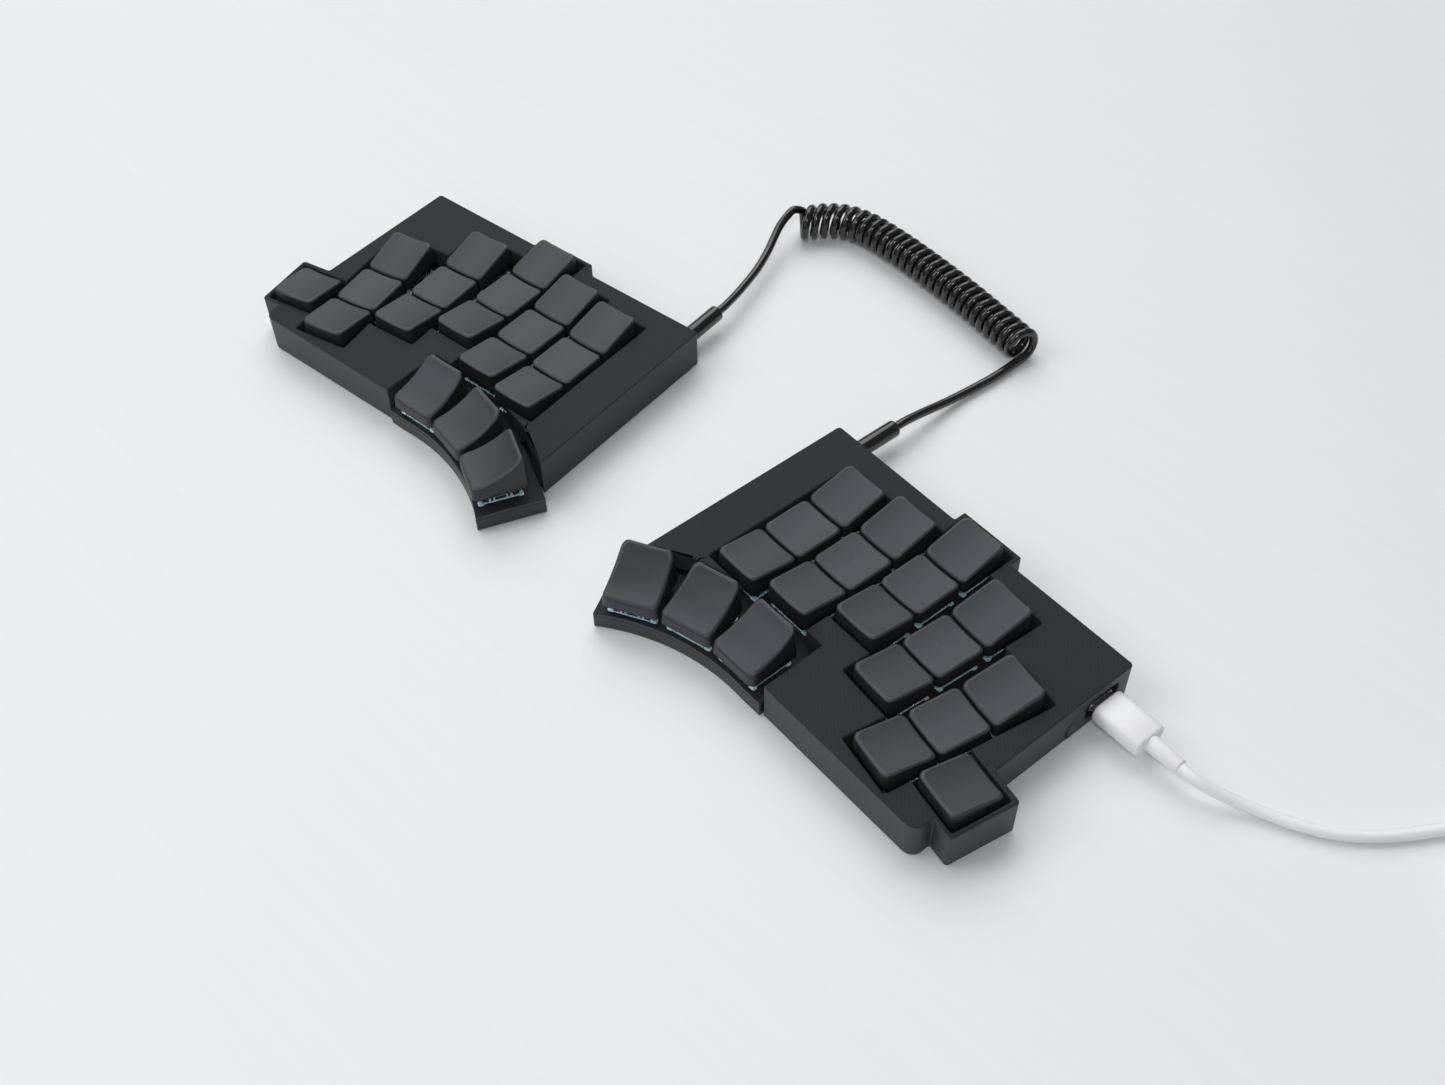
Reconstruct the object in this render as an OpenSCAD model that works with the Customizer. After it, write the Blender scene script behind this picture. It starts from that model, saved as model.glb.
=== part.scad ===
// Split ergonomic keyboard: two mirrored halves joined by a curly link cable, with a cable to the host.
// Frame: X runs from the left half to the right half, Y away from the user, Z up from the desk.

/* [Keys] */
// Centre distance between neighbouring columns
key_pitch_x = 18; // [17.6:0.1:20]
// Centre distance between neighbouring rows
key_pitch_y = 17; // [17:0.1:20]
// Width of a keycap at its rim
cap_w = 16.4; // [16:0.1:17.4]
// Depth of a keycap at its rim
cap_d = 16.5; // [16:0.1:16.8]
// Width of a thumb keycap at its rim
thumb_cap_w = 17; // [16.4:0.1:17.2]
// Depth of a thumb keycap at its rim
thumb_cap_d = 17; // [16:0.1:17.4]
// Height of a home row keycap's corners above the desk
cap_top_z = 14.1; // [13.6:0.1:16]
// Rise of a far row keycap's far edge over its near edge
far_row_rise = 3.7; // [0:0.1:6]
// Rise of a near row keycap's near edge over its far edge
near_row_rise = 2.7; // [0:0.1:5]
// Rise of a thumb keycap's far edge over its near edge
thumb_rise = 7.2; // [2:0.1:9]
// Lean of a finger keycap's left and right sides, in mm per mm of height
cap_draft_x = 0.06; // [0.02:0.01:0.12]
// Lean of a thumb keycap's left and right sides, in mm per mm of height
thumb_draft_x = 0.08; // [0.04:0.01:0.2]
// Lean of a keycap's near and far sides, in mm per mm of height
cap_draft_y = 0.02; // [0:0.01:0.12]
// Radius of a keycap's upright corners
cap_corner_r = 1.8; // [0.6:0.1:3]
// Radius of the hollow across a keycap's top
cap_dish_r = 40; // [30:1:90]
// Radius of the scoop that runs up a thumb keycap's top
thumb_scoop_r = 24; // [20:1:60]
// Wall of a keycap
cap_wall = 1.2; // [0.8:0.1:1.4]
// How far a key goes down
key_travel = 3; // [1.5:0.1:3]

/* [Columns] */
// Stagger of the index column against the inner column
index_stagger = 2.9; // [0:0.1:6]
// Stagger of the middle column against the inner column
middle_stagger = 11.4; // [6:0.1:13]
// Sideways step from the middle column to the ring column
ring_step = 19.4; // [19:0.1:21]
// Drop from the middle column to the ring column
ring_drop = 10.2; // [8:0.1:12]
// Outward turn of the ring column
ring_splay = 4; // [2:0.5:5]
// Sideways step from the ring column to the pinky column
pinky_step = 18.3; // [18.2:0.1:20]
// Drop from the ring column to the pinky column
pinky_drop = 15.7; // [14:0.1:17]
// Outward turn of the pinky column
pinky_splay = 9.5; // [8:0.5:11]
// Drop of the outer key below the pinky home key
outer_drop = 9.3; // [7:0.1:11]

/* [Thumb keys] */
// Radius of the arc on which the thumb keys stand
thumb_r = 74; // [72:0.5:84]
// Angle between neighbouring thumb keys
thumb_fan = 15; // [15:0.5:16]
// Angle of the first thumb key
thumb_start = 1; // [0:0.5:2]
// First thumb key's place to the left of the inner column
thumb_x = 22.8; // [21:0.1:24]
// First thumb key's place below the inner home key
thumb_y = 37; // [36.4:0.1:38]
// Lip of the thumb deck in front of the key centres
thumb_lip = 8.1; // [8:0.1:10]
// End of the thumb deck past the last key's centre
thumb_end = 10.9; // [10.4:0.1:14]
// Thumb deck behind the key centres
thumb_far = 12.4; // [11.6:0.1:12.6]

/* [Case] */
// Height of the case above the desk
case_h = 13; // [12:0.1:14]
// Wall of the cover
wall = 2; // [1.6:0.1:2.4]
// Thickness of the cover's top
top_t = 2; // [1.4:0.1:2.6]
// Inner wall's outside face past the inner column
inner_margin = 24; // [23:0.1:28]
// Outer wall's outside face past the pinky home key
outer_margin = 18.2; // [18:0.1:22]
// Far wall's outside face past the inner home key
far_margin = 35.7; // [35.5:0.1:40]
// Near wall's outside face below the inner home key
near_margin = 44.1; // [43.8:0.1:47]
// Radius of the case's near outer corner
corner_r = 3.5; // [1:0.1:5]
// Radius of the case's other upright corners
edge_r = 1.2; // [0.6:0.1:2]
// Clear space beside a key's own square in its pocket
pocket_side = 0.65; // [0.4:0.05:0.9]
// Clear space behind the far row's squares
pocket_far = 1.4; // [1.2:0.05:2]
// Clear space in front of the near row's squares
pocket_near = 1; // [0.8:0.05:1.4]
// Clear space round the outer key's square
pocket_outer = 0.25; // [0.2:0.05:0.6]
// Wall of the boxes round the outer key and the far middle key
box_wall = 1.5; // [1.2:0.1:2]
// Wall round the pockets under the cover's top
skirt_t = 1.4; // [1:0.1:1.8]
// Floor of the tray
floor_t = 1; // [0.8:0.1:1.2]
// Clearance between cover and tray
tray_fit = 0.25; // [0.15:0.05:0.4]
// Top of the switch plate above the desk
plate_z = 5.7; // [5.5:0.1:6.2]
// Thickness of the switch plate
plate_t = 1.2; // [1:0.1:1.6]
// Thickness of the circuit board
board_t = 1.2; // [0.8:0.1:1.2]
// Diameter of the screw posts
post_d = 5; // [4.8:0.1:5]
// Thread diameter of the case screws
screw_d = 2; // [1.6:0.1:2.2]

/* [Switches] */
// Side of a switch body where it passes through the plate
switch_w = 13.9; // [13.6:0.1:14]
// Clearance round a switch in its plate hole
switch_fit = 0.1; // [0.05:0.05:0.2]
// Side of the switch flange on the plate
flange_w = 15; // [14.6:0.1:15.2]
// Thickness of the switch flange
flange_t = 0.6; // [0.4:0.1:0.7]
// Height of a switch body above the plate
switch_top = 2.8; // [2.4:0.1:2.9]
// Depth of a switch body below the plate's top
switch_deep = 2.2; // [2.2:0.1:2.3]
// Width of the stem
stem_w = 10; // [8:0.1:11]
// Depth of the stem
stem_d = 4.4; // [3:0.1:5]

/* [Ports] */
// Host socket's centre past the inner home key
usb_y = 24.6; // [24.4:0.1:24.8]
// Width of the host socket's shell
usb_w = 8.94; // [8.9:0.01:9]
// Height of the host socket's shell
usb_h = 3.26; // [3.2:0.01:3.3]
// Link socket's centre past the inner column
link_x = 17.6; // [17:0.1:18.2]
// Height of the link socket's axis
link_z = 6; // [5.9:0.1:6.2]
// Diameter of the link plug's pin
pin_d = 3.5; // [3.4:0.05:3.5]

/* [Cables] */
// Diameter of the link cable
link_d = 2.8; // [2.6:0.1:2.9]
// Radius of the curls at the middle of the cable
curl_r = 4.6; // [4.3:0.1:5]
// Diameter of the link plug's grip
link_grip_d = 5.4; // [5:0.1:6]
// Length of the link plug's grip outside the case
link_grip_l = 17.4; // [15:0.1:20]
// Diameter of the host cable
cable_d = 3.3; // [3:0.1:3.5]
// Width of the host plug's grip
grip_w = 11; // [10.6:0.1:12]
// Thickness of the host plug's grip
grip_h = 6.1; // [5.6:0.1:6.4]
// Length of the host plug's grip
grip_l = 15.5; // [13:0.1:18]
// Length of the host plug's sleeve
sleeve_l = 10; // [8:0.1:12]

/* [Placement] */
// Inner home key's distance from the plane between the halves
half_x = 50.4; // [46:0.1:60]
// Outward turn of each half
half_lean = 5.9; // [4:0.1:8]

/* [Hidden] */
$fn = 64;

// Colours as they show: black case and caps, pale blue switches, white host cable
CASE_BLACK = [0.13, 0.13, 0.14];
CAP_BLACK = [0.17, 0.17, 0.18];
CABLE_BLACK = [0.05, 0.05, 0.05];
SWITCH_BLUE = [0.55, 0.78, 0.86];
STEEL = [0.75, 0.75, 0.74];
CABLE_WHITE = [0.93, 0.93, 0.94];
BOARD_BLACK = [0.08, 0.09, 0.1];

// Columns from the inner one outwards: name, home key's place, outward turn
SIDES = ["left", "right"];
middle_x = -2 * key_pitch_x;
ring_x = middle_x - ring_step;
ring_y = middle_stagger - ring_drop;
pinky_x = ring_x - pinky_step;
pinky_y = ring_y - pinky_drop;
COLUMNS = [
    ["inner", [0, 0], 0],
    ["index", [-key_pitch_x, index_stagger], 0],
    ["middle", [middle_x, middle_stagger], 0],
    ["ring", [ring_x, ring_y], ring_splay],
    ["pinky", [pinky_x, pinky_y], pinky_splay]];
ROWS = [["far", 1], ["home", 0], ["near", -1]];
outer_at = [pinky_x, pinky_y] + turned([-key_pitch_x, -outer_drop], pinky_splay);
thumb_arc = [-thumb_x, -thumb_y] - turned([0, thumb_r], -thumb_start);

// Keys: name, place, turn, profile, size of the cap
KEYS = concat(
    [for (c = COLUMNS) for (r = ROWS)
        [str(c[0], "_", r[0]), c[1] + turned([0, r[1] * key_pitch_y], c[2]), c[2], r[0], [cap_w, cap_d]]],
    [["outer", outer_at, pinky_splay, "near", [cap_w, cap_d]]],
    [for (i = [0:2]) [str("thumb_", i + 1), thumb_at(i), -thumb_turn(i), "thumb", [thumb_cap_w, thumb_cap_d]]]);

// Heights of the stack from the desk up
plate_under = plate_z - plate_t;
board_z = plate_z - switch_deep;
board_under = board_z - board_t;
flange_z = plate_z + flange_t;
housing_z = plate_z + switch_top;
press_gap = 0.2;
rim_z = flange_z + key_travel + press_gap;
ceiling_z = housing_z + key_travel + press_gap;
stem_z = board_z + key_travel + press_gap;
roof_z = case_h - top_t;
skirt_z = plate_z + 0.3;
ledge = 0.3;

// Edges of the case and half sizes of the pockets
inner_edge = inner_margin;
outer_edge = pinky_x - outer_margin;
far_edge = far_margin;
near_edge = -near_margin;
pocket_x = key_pitch_x / 2 + pocket_side;
pocket_y1 = key_pitch_y / 2 + pocket_far;
pocket_y0 = -key_pitch_y / 2 - pocket_near;
column_far = key_pitch_y + pocket_y1;
column_near = pocket_y0 - key_pitch_y;
wedge_reach = 5;
outer_x = key_pitch_x / 2 + pocket_outer;
outer_y = key_pitch_y / 2 + pocket_outer + 0.45;
cut_gap = 0.9;
cut_w = 11.8;
deck_w = cut_w - 0.5;
cut_far = thumb_far + cut_gap + 0.2;
lip_r = thumb_r - thumb_lip;
rim_t = 1;
lip_step = 0.15;
end_t = 2;

// Screws: beside the inner column twice, behind it, and in front of the ring column
post_wall_gap = post_d / 2 + 0.1;
POSTS = [
    [inner_edge - 7, 4],
    [inner_edge - 7, -20],
    [1, far_edge - wall - post_wall_gap],
    [ring_x + 8.4, near_edge + 11]];
head_d = screw_d + 1.8;
head_t = 1.3;
head_sunk = 0.3;
screw_fit = 0.1;
thread_l = 4;

// Ports
socket_l = 7.3;
usb_z = board_z + 1 + usb_h / 2;
usb_mouth = outer_edge + 0.5;
socket_t = 0.3;
shell_w = usb_w - 2 * socket_t - 0.14;
shell_h = usb_h - 2 * socket_t - 0.24;
shell_t = 0.3;
shell_l = 8;
shell_in = 6.2;
grip_gap = shell_l - shell_in - 0.1;
grip_r = 2.4;
sleeve_d = cable_d + 1.7;
port_w = 12;
port_h = 7;
module_w = 17.5;
module_l = 21;
jack_w = 6;
jack_l = 12;
jack_h = 5;
jack_y = far_edge - wall - 0.1;
slot_r = 5;
slot_t = 0.6;

// Where the halves stand: the case is centred on the origin in Y
deck_corner = thumb_at(2) + turned([thumb_end, sqrt(lip_r * lip_r - thumb_end * thumb_end) - thumb_r],
    -thumb_turn(2));
far_corner = [inner_edge - edge_r, far_edge - edge_r];
half_y = -(turned(far_corner, half_lean)[1] + edge_r + turned(deck_corner, half_lean)[1]) / 2;

// Angles in degrees, counter-clockwise
function turned(p, a) = [p[0] * cos(a) - p[1] * sin(a), p[0] * sin(a) + p[1] * cos(a)];
function thumb_turn(i) = thumb_start + i * thumb_fan;
function thumb_at(i) = thumb_arc + turned([0, thumb_r], -thumb_turn(i));
function key_name(side, key) = str(side, "_key_", key[0]);
function key_of(name) = [for (side = SIDES) for (key = KEYS) if (key_name(side, key) == name) [side, key]][0];
function side_sign(side) = side == "left" ? 1 : -1;
// A point of the left half's own frame, in the shared frame
function placed(p, side) = let (q = turned([p[0], p[1]], half_lean))
    [side_sign(side) * (q[0] - half_x), q[1] + half_y, p[2]];
function unit(v) = v / norm(v);

module in_half(side) {
    mirror([side == "left" ? 0 : 1, 0, 0])
        translate([-half_x, half_y, 0]) rotate(half_lean) children();
}
module at_column(c) { translate(c[1]) rotate(c[2]) children(); }
module at_outer() { translate(outer_at) rotate(pinky_splay) children(); }
module at_thumb(i) { translate(thumb_at(i)) rotate(-thumb_turn(i)) children(); }
module at_keys() { for (key = KEYS) translate(key[1]) rotate(key[2]) children(); }
module slab(z0, z1) { translate([0, 0, z0]) linear_extrude(z1 - z0) children(); }
module rect(x0, x1, y0, y1) { translate([x0, y0]) square([x1 - x0, y1 - y0]); }
// A rectangle with rounded corners, centred
module rounded(w, d, r) {
    square([w - 2 * r, d], center = true);
    square([w, d - 2 * r], center = true);
    for (x = [-1, 1]) for (y = [-1, 1]) translate([x * (w / 2 - r), y * (d / 2 - r)]) circle(r);
}
// Outlines of one half, seen from above
module main_outline(inset) {
    x0 = outer_edge + inset;
    x1 = inner_edge - inset;
    y0 = near_edge + inset;
    y1 = far_edge - inset;
    big = max(corner_r - inset, 0.4);
    small = max(edge_r - inset, 0.4);
    polygon([[x0 + big, y0], [x1, y0], [x1, y1 - small], [x1 - small, y1],
        [x0 + small, y1], [x0, y1 - small], [x0, y0 + big]]);
    translate([x0 + big, y0 + big]) circle(big);
    translate([x0 + small, y1 - small]) circle(small);
    translate([x1 - small, y1 - small]) circle(small);
}
module boxes_outline(grow) {
    at_column(COLUMNS[2]) rect(-pocket_x - grow, pocket_x + grow, 0, column_far + grow);
    at_outer() rounded(2 * (outer_x + grow), 2 * (outer_y + grow), max(edge_r + grow - box_wall, 0.4));
}
module pockets_outline(grow) {
    for (c = COLUMNS) at_column(c)
        rect(-pocket_x - grow, pocket_x + grow, column_near - grow, column_far + grow);
    for (i = [2:3]) wedge_outline(COLUMNS[i], COLUMNS[i + 1], grow);
    at_outer() rect(-outer_x - grow, outer_x + grow, -outer_y - grow, outer_y + grow);
}
// Open wedge between a column and the outer neighbour that turns away from it
module wedge_outline(column, outer, grow) {
    intersection() {
        at_column(column) rect(-pocket_x - wedge_reach, 0, column_near - grow, 2 * column_far);
        at_column(outer) rect(0, pocket_x + wedge_reach, 2 * column_near, column_far + grow);
    }
}
module thumb_cut_outline(grow) {
    at_thumb(0) rect(-cut_w - grow, cut_w + grow + 2, -30, cut_far + grow + 0.3);
    for (i = [1:2]) at_thumb(i) rect(-cut_w - grow, cut_w + grow, -30, cut_far + grow);
}
module deck_outline() {
    difference() {
        union() {
            at_thumb(0) rect(-deck_w, 0, -thumb_lip - lip_step, thumb_far);
            at_thumb(0) rect(-0.01, deck_w, -thumb_lip - 4, thumb_far);
            at_thumb(1) rect(-deck_w, deck_w, -thumb_lip - 4, thumb_far);
            at_thumb(2) rect(-deck_w, thumb_end, -thumb_lip - 4, thumb_far);
        }
        translate(thumb_arc) circle(lip_r, $fn = 180);
    }
}
// The key field's own area, with bridges from column to column
module field_outline(inset) {
    pockets_outline(-inset);
    for (i = [0:3]) let (a = COLUMNS[i][1], b = COLUMNS[i + 1][1])
        polygon([a + [0, 12], b + [0, 12], b - [0, 12], a - [0, 12]]);
    at_outer() rect(0, key_pitch_x, -6, 6);
    for (i = [0:1]) at_thumb(i) rect(-8, 8, 0, thumb_far + 3.2);
}

// Cover: walls, top with key pockets, walls round the pockets and screw bosses
module cover() {
    difference() {
        union() {
            difference() {
                slab(0, case_h) { main_outline(0); boxes_outline(box_wall); }
                slab(-1, roof_z) { main_outline(wall); boxes_outline(-ledge); }
            }
            intersection() {
                slab(skirt_z, roof_z + 0.5) { pockets_outline(skirt_t); thumb_cut_outline(skirt_t); }
                slab(skirt_z, roof_z + 0.5) main_outline(wall / 2);
            }
            for (p = POSTS) translate([p[0], p[1], skirt_z]) cylinder(d = post_d, h = roof_z - skirt_z + 0.5);
        }
        slab(-1, case_h + 1) thumb_cut_outline(0);
        slab(skirt_z - 1, case_h + 1) pockets_outline(0);
        for (p = POSTS) translate([p[0], p[1], skirt_z - 1])
            cylinder(d = screw_d + 2 * screw_fit, h = thread_l + 1.4);
        usb_port();
        link_port();
        reset_slot();
    }
}
module usb_port() {
    translate([outer_edge - 1, usb_y, usb_z]) rotate([90, 0, 90]) linear_extrude(wall + 2)
        rounded(port_w, port_h, 1.5);
}
module link_port() {
    translate([link_x, far_edge + 1, link_z]) rotate([90, 0, 0]) cylinder(d = link_grip_d + 0.6, h = wall + 2);
}
// Curved slot beside a springy reset tab in the outer wall
module reset_slot() {
    intersection() {
        translate([outer_edge - 1, usb_y - 8, 3]) rotate([0, 90, 0]) difference() {
            cylinder(r = slot_r, h = wall + 2);
            translate([0, 0, -1]) cylinder(r = slot_r - slot_t, h = wall + 4);
        }
        translate([outer_edge - 2, usb_y - 8 - slot_r - 1, 0.6]) cube([wall + 4, slot_r - 1, 6]);
    }
}

// Tray: floor, ribs under the board, rim of the thumb deck, screw posts
module tray() {
    difference() {
        union() {
            slab(0, floor_t) {
                main_outline(wall + tray_fit);
                boxes_outline(-ledge - tray_fit);
                deck_outline();
            }
            slab(0, plate_under) deck_rim();
            slab(0, board_under) board_ribs();
            for (p = POSTS) translate(p) cylinder(d = post_d, h = skirt_z);
        }
        for (p = POSTS) translate([p[0], p[1], -1]) {
            cylinder(d = screw_d + 2 * screw_fit, h = skirt_z + 2);
            cylinder(d = head_d + 4 * screw_fit, h = head_sunk + head_t + 1);
        }
    }
}
module deck_rim() {
    intersection() {
        deck_outline();
        union() {
            difference() {
                translate(thumb_arc) circle(lip_r + rim_t, $fn = 180);
                at_thumb(0) rect(-2 * cut_w, 0, -thumb_r, cut_far);
            }
            at_thumb(0) rect(-deck_w, 0.1, -thumb_lip - lip_step, rim_t - thumb_lip - lip_step);
            at_thumb(2) rect(thumb_end - end_t, thumb_end, -2 * thumb_lip, thumb_far);
            at_thumb(2) rect(thumb_end - 7, thumb_end, thumb_far - end_t, thumb_far);
        }
    }
}
module board_ribs() {
    for (c = COLUMNS) at_column(c) for (y = [-0.5, 0.5])
        translate([0, y * key_pitch_y]) square([key_pitch_x / 2, rim_t], center = true);
    at_outer() translate([0, key_pitch_y / 2 - rim_t]) square([key_pitch_x / 2, rim_t], center = true);
    for (i = [0:2]) at_thumb(i) translate([0, thumb_far - end_t - 2])
        square([key_pitch_x / 2, rim_t], center = true);
}

// Switch plate with a square hole for every switch
module plate() {
    difference() {
        slab(plate_under, plate_z) { field_outline(ledge + tray_fit); deck_outline(); }
        at_keys() translate([0, 0, plate_z]) cube([1, 1, 4] * (switch_w + 2 * switch_fit), center = true);
    }
}

// Circuit board of one half, with room for the controller and the link socket
module board() {
    half_pitch = key_pitch_x / 2;
    deck_near = -thumb_lip + rim_t + 0.2;
    slab(board_under, board_z) {
        field_outline(ledge + tray_fit + 0.1);
        for (i = [0:1]) at_thumb(i) rect(-half_pitch, half_pitch, deck_near, thumb_far);
        at_thumb(2) rect(-half_pitch, thumb_end - end_t - 0.3, deck_near, thumb_far - end_t - 0.2);
        rect(outer_edge + wall + 0.4, pinky_x + half_pitch, usb_y - module_w / 2 - 5, far_edge - wall - 0.3);
        rect(half_pitch, link_x + jack_w / 2, jack_y - jack_l - 1, jack_y);
    }
}
module controller() {
    x0 = usb_mouth + 1.6;
    slab(board_z, board_z + 1) rect(x0, x0 + module_l, usb_y - module_w / 2, usb_y + module_w / 2);
    slab(board_z + 1, board_z + 2.6) translate([x0 + 14, usb_y]) square([10, 11], center = true);
}
module usb_socket() {
    translate([usb_mouth, usb_y, usb_z]) rotate([90, 0, 90]) {
        difference() {
            linear_extrude(socket_l) rounded(usb_w, usb_h, 1.5);
            translate([0, 0, -1]) linear_extrude(socket_l)
                rounded(usb_w - 2 * socket_t, usb_h - 2 * socket_t, 1.2);
        }
        translate([0, 0, 1.2]) linear_extrude(socket_l - 1.6) square([6.6, 0.6], center = true);
    }
}
module link_socket() {
    difference() {
        translate([link_x - jack_w / 2, jack_y - jack_l, board_z]) cube([jack_w, jack_l, jack_h]);
        translate([link_x, jack_y + 1, link_z]) rotate([90, 0, 0]) cylinder(d = pin_d + 0.2, h = jack_l);
    }
}
module screw_set() {
    for (p = POSTS) translate([p[0], p[1], head_sunk]) {
        difference() {
            cylinder(d = head_d, h = head_t);
            translate([0, 0, -1]) cylinder(d = 1.4, h = 1.7, $fn = 6);
        }
        cylinder(d = screw_d, h = skirt_z - head_sunk + thread_l);
    }
}

// One switch body with the well that its stem runs in
module switch_body() {
    difference() {
        union() {
            translate([-switch_w / 2, -switch_w / 2, board_z])
                cube([switch_w, switch_w, plate_z - board_z + 0.1]);
            translate([-flange_w / 2, -flange_w / 2, plate_z]) cube([flange_w, flange_w, flange_t]);
            translate([0, 0, plate_z]) linear_extrude(switch_top) square(switch_w - 0.4, center = true);
        }
        translate([0, 0, board_z]) cube([stem_w + 0.6, stem_d + 0.6, 30], center = true);
    }
}

// Keycap with its stem: a home cap is level and the others slope up to one edge, a thumb cap with a scoop
function cap_far_z(profile) = cap_top_z
    + (profile == "far" ? far_row_rise : profile == "thumb" ? thumb_rise : 0);
function cap_near_z(profile) = cap_top_z + (profile == "near" ? near_row_rise : 0);
module keycap(profile, size) {
    w = size[0];
    d = size[1];
    z1 = cap_far_z(profile);
    z0 = cap_near_z(profile);
    y1 = d / 2 - cap_draft_y * (z1 - rim_z);
    y0 = -d / 2 + cap_draft_y * (z0 - rim_z);
    top = max(z0, z1) + 1;
    scooped = profile == "thumb";
    draft_x = scooped ? thumb_draft_x : cap_draft_x;
    half_top = w / 2 - draft_x * (top - rim_z);
    hollow_r = scooped ? thumb_scoop_r : cap_dish_r;
    hollow_half = scooped ? norm([y1 - y0, z1 - z0]) / 2 : w / 2 - draft_x * (cap_top_z - rim_z);
    hollow_up = sqrt(hollow_r * hollow_r - hollow_half * hollow_half);
    color(CAP_BLACK) difference() {
        intersection() {
            rotate([90, 0, 90]) linear_extrude(2 * w, center = true)
                polygon([[-d / 2, rim_z], [d / 2, rim_z], [y1, z1], [y0, z0]]);
            rotate([90, 0, 0]) linear_extrude(2 * d, center = true)
                polygon([[-w / 2, rim_z], [w / 2, rim_z], [half_top, top], [-half_top, top]]);
            slab(rim_z, top) rounded(w, d, cap_corner_r);
        }
        translate([0, (y0 + y1) / 2, (z0 + z1) / 2]) rotate([atan2(z1 - z0, y1 - y0), 0, 0])
            translate([0, 0, hollow_up]) rotate(scooped ? [0, 90, 0] : [90, 0, 0])
                cylinder(r = hollow_r, h = 3 * d, center = true, $fn = 120);
        translate([0, 0, rim_z - 1]) linear_extrude(ceiling_z - rim_z + 1)
            square([w - 2 * cap_wall, d - 2 * cap_wall], center = true);
    }
    color(SWITCH_BLUE) slab(stem_z, ceiling_z) square([stem_w, stem_d], center = true);
}
module key(name) {
    found = key_of(name);
    in_half(found[0]) translate(found[1][1]) rotate(found[1][2]) keycap(found[1][3], found[1][4]);
}

// Smooth curve through points chosen by hand: n steps between neighbours
function at(p, i) = p[min(max(i, 0), len(p) - 1)];
function blend(a, b, c, d, t) = 0.5 * (2 * b + (c - a) * t + (2 * a - 5 * b + 4 * c - d) * t * t
    + (3 * b - a - 3 * c + d) * t * t * t);
function smooth(p, n) = concat(
    [for (i = [0:len(p) - 2]) for (k = [0:n - 1]) blend(at(p, i - 1), p[i], p[i + 1], at(p, i + 2), k / n)],
    [p[len(p) - 1]]);
function total(v, i = 0) = i < len(v) ? v[i] + total(v, i + 1) : 0;
function steps(p) = [for (i = [0:len(p) - 2]) norm(p[i + 1] - p[i])];
function sums(v) = [for (i = 0, s = 0; i <= len(v); s = s + (i < len(v) ? v[i] : 0), i = i + 1) s];
function last(p) = p[len(p) - 1];
// Directions in which a path starts and ends
function way(p, i) = unit(p[i + 1] - p[i]);
function way_out(p) = way(p, len(p) - 2);
// A wound path with a straight run of length d at each end
function with_ends(p, d) = concat([p[0] - d * way(p, 0)], p, [last(p) + d * way_out(p)]);
function tangent(p, i) = unit(at(p, i + 1) - at(p, i - 1));
// A normal for every point of a path, carried along without twist
function normals(p, start) = [for (i = 0, m = carried(start, tangent(p, 0)); i < len(p);
    i = i + 1, m = i < len(p) ? carried(m, tangent(p, i)) : m) m];
function carried(m, t) = unit(m - (m * t) * t);
// A tube of n sides along a path, with one edge towards the start direction
module tube(p, d, n, start = [0.31, 0.17, 1]) {
    m = normals(p, start);
    rings = [for (i = [0:len(p) - 1]) let (t = tangent(p, i), b = cross(t, m[i])) for (k = [0:n - 1])
        p[i] + d / 2 * (cos(360 * k / n) * m[i] + sin(360 * k / n) * b)];
    end = (len(p) - 1) * n;
    sides = [for (i = [0:len(p) - 2]) for (k = [0:n - 1]) let (a = i * n + k, b = i * n + (k + 1) % n)
        each [[a, a + n, b], [b, a + n, b + n]]];
    caps = [for (k = [1:n - 2]) each [[0, k, k + 1], [end, end + k + 1, end + k]]];
    polyhedron(rings, concat(sides, caps), convexity = 10);
}
// Least clear gap of a wound tube to itself, between points over half a turn apart
function self_gap(p, d, apart) = min([for (i = [0:len(p) - 1]) for (j = [i + apart:1:len(p) - 1])
    norm(p[i] - p[j])]) - d;

// Straight length of cable behind every plug
plug_run = 4;

// Link cable: from one half's far wall, through the curls, to the other half's far wall
function link_end(side) = placed([link_x, far_edge + link_grip_l, link_z], side);
function link_way(side) = let (q = turned([0, 1], half_lean)) [side_sign(side) * q[0], q[1], 0];
curl_axis_z = curl_r + link_d / 2 + 0.05;
curl_turns = 28.25;
open_turns = 6;
open_step = 4.5;
curl_start = 90;
curl_run = 1;
curl_rings = 8;
CURL_AXIS = smooth([[-50.1, 118.2], [-48.5, 120.8], [-46.6, 123.7], [-44.2, 126.3], [-41.2, 128.6],
    [-37.6, 130.2], [-33, 131.2], [-27, 131.6], [-11, 130.6], [13, 127.4], [36, 123], [44.4, 121.4]], 10);
curl_sums = sums(steps(CURL_AXIS));
close_step = (last(curl_sums) - open_turns * open_step) / (curl_turns - open_turns);
// Axis point at a length along the axis; before its start the axis runs straight
function curl_step(s) = max([for (i = [0:len(CURL_AXIS) - 2]) if (curl_sums[i] <= max(s, 0)) i]);
function curl_point(s) = let (i = curl_step(s), f = (s - curl_sums[i]) / (curl_sums[i + 1] - curl_sums[i]))
    CURL_AXIS[i] + f * (CURL_AXIS[i + 1] - CURL_AXIS[i]);
function curl_side(s) = let (a = unit(curl_point(s + 1) - curl_point(s - 1))) [-a[1], a[0]];
// The first turns stand further apart, on the bend
function curl_reach(t) = t < open_turns ? t * open_step
    : open_turns * open_step + (t - open_turns) * close_step;
function curl_at(t) = let (s = curl_reach(t), a = curl_start + 360 * t, c = curl_point(s), b = curl_side(s))
    [c[0] + curl_r * sin(a) * b[0], c[1] + curl_r * sin(a) * b[1], curl_axis_z + curl_r * cos(a)];
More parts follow.
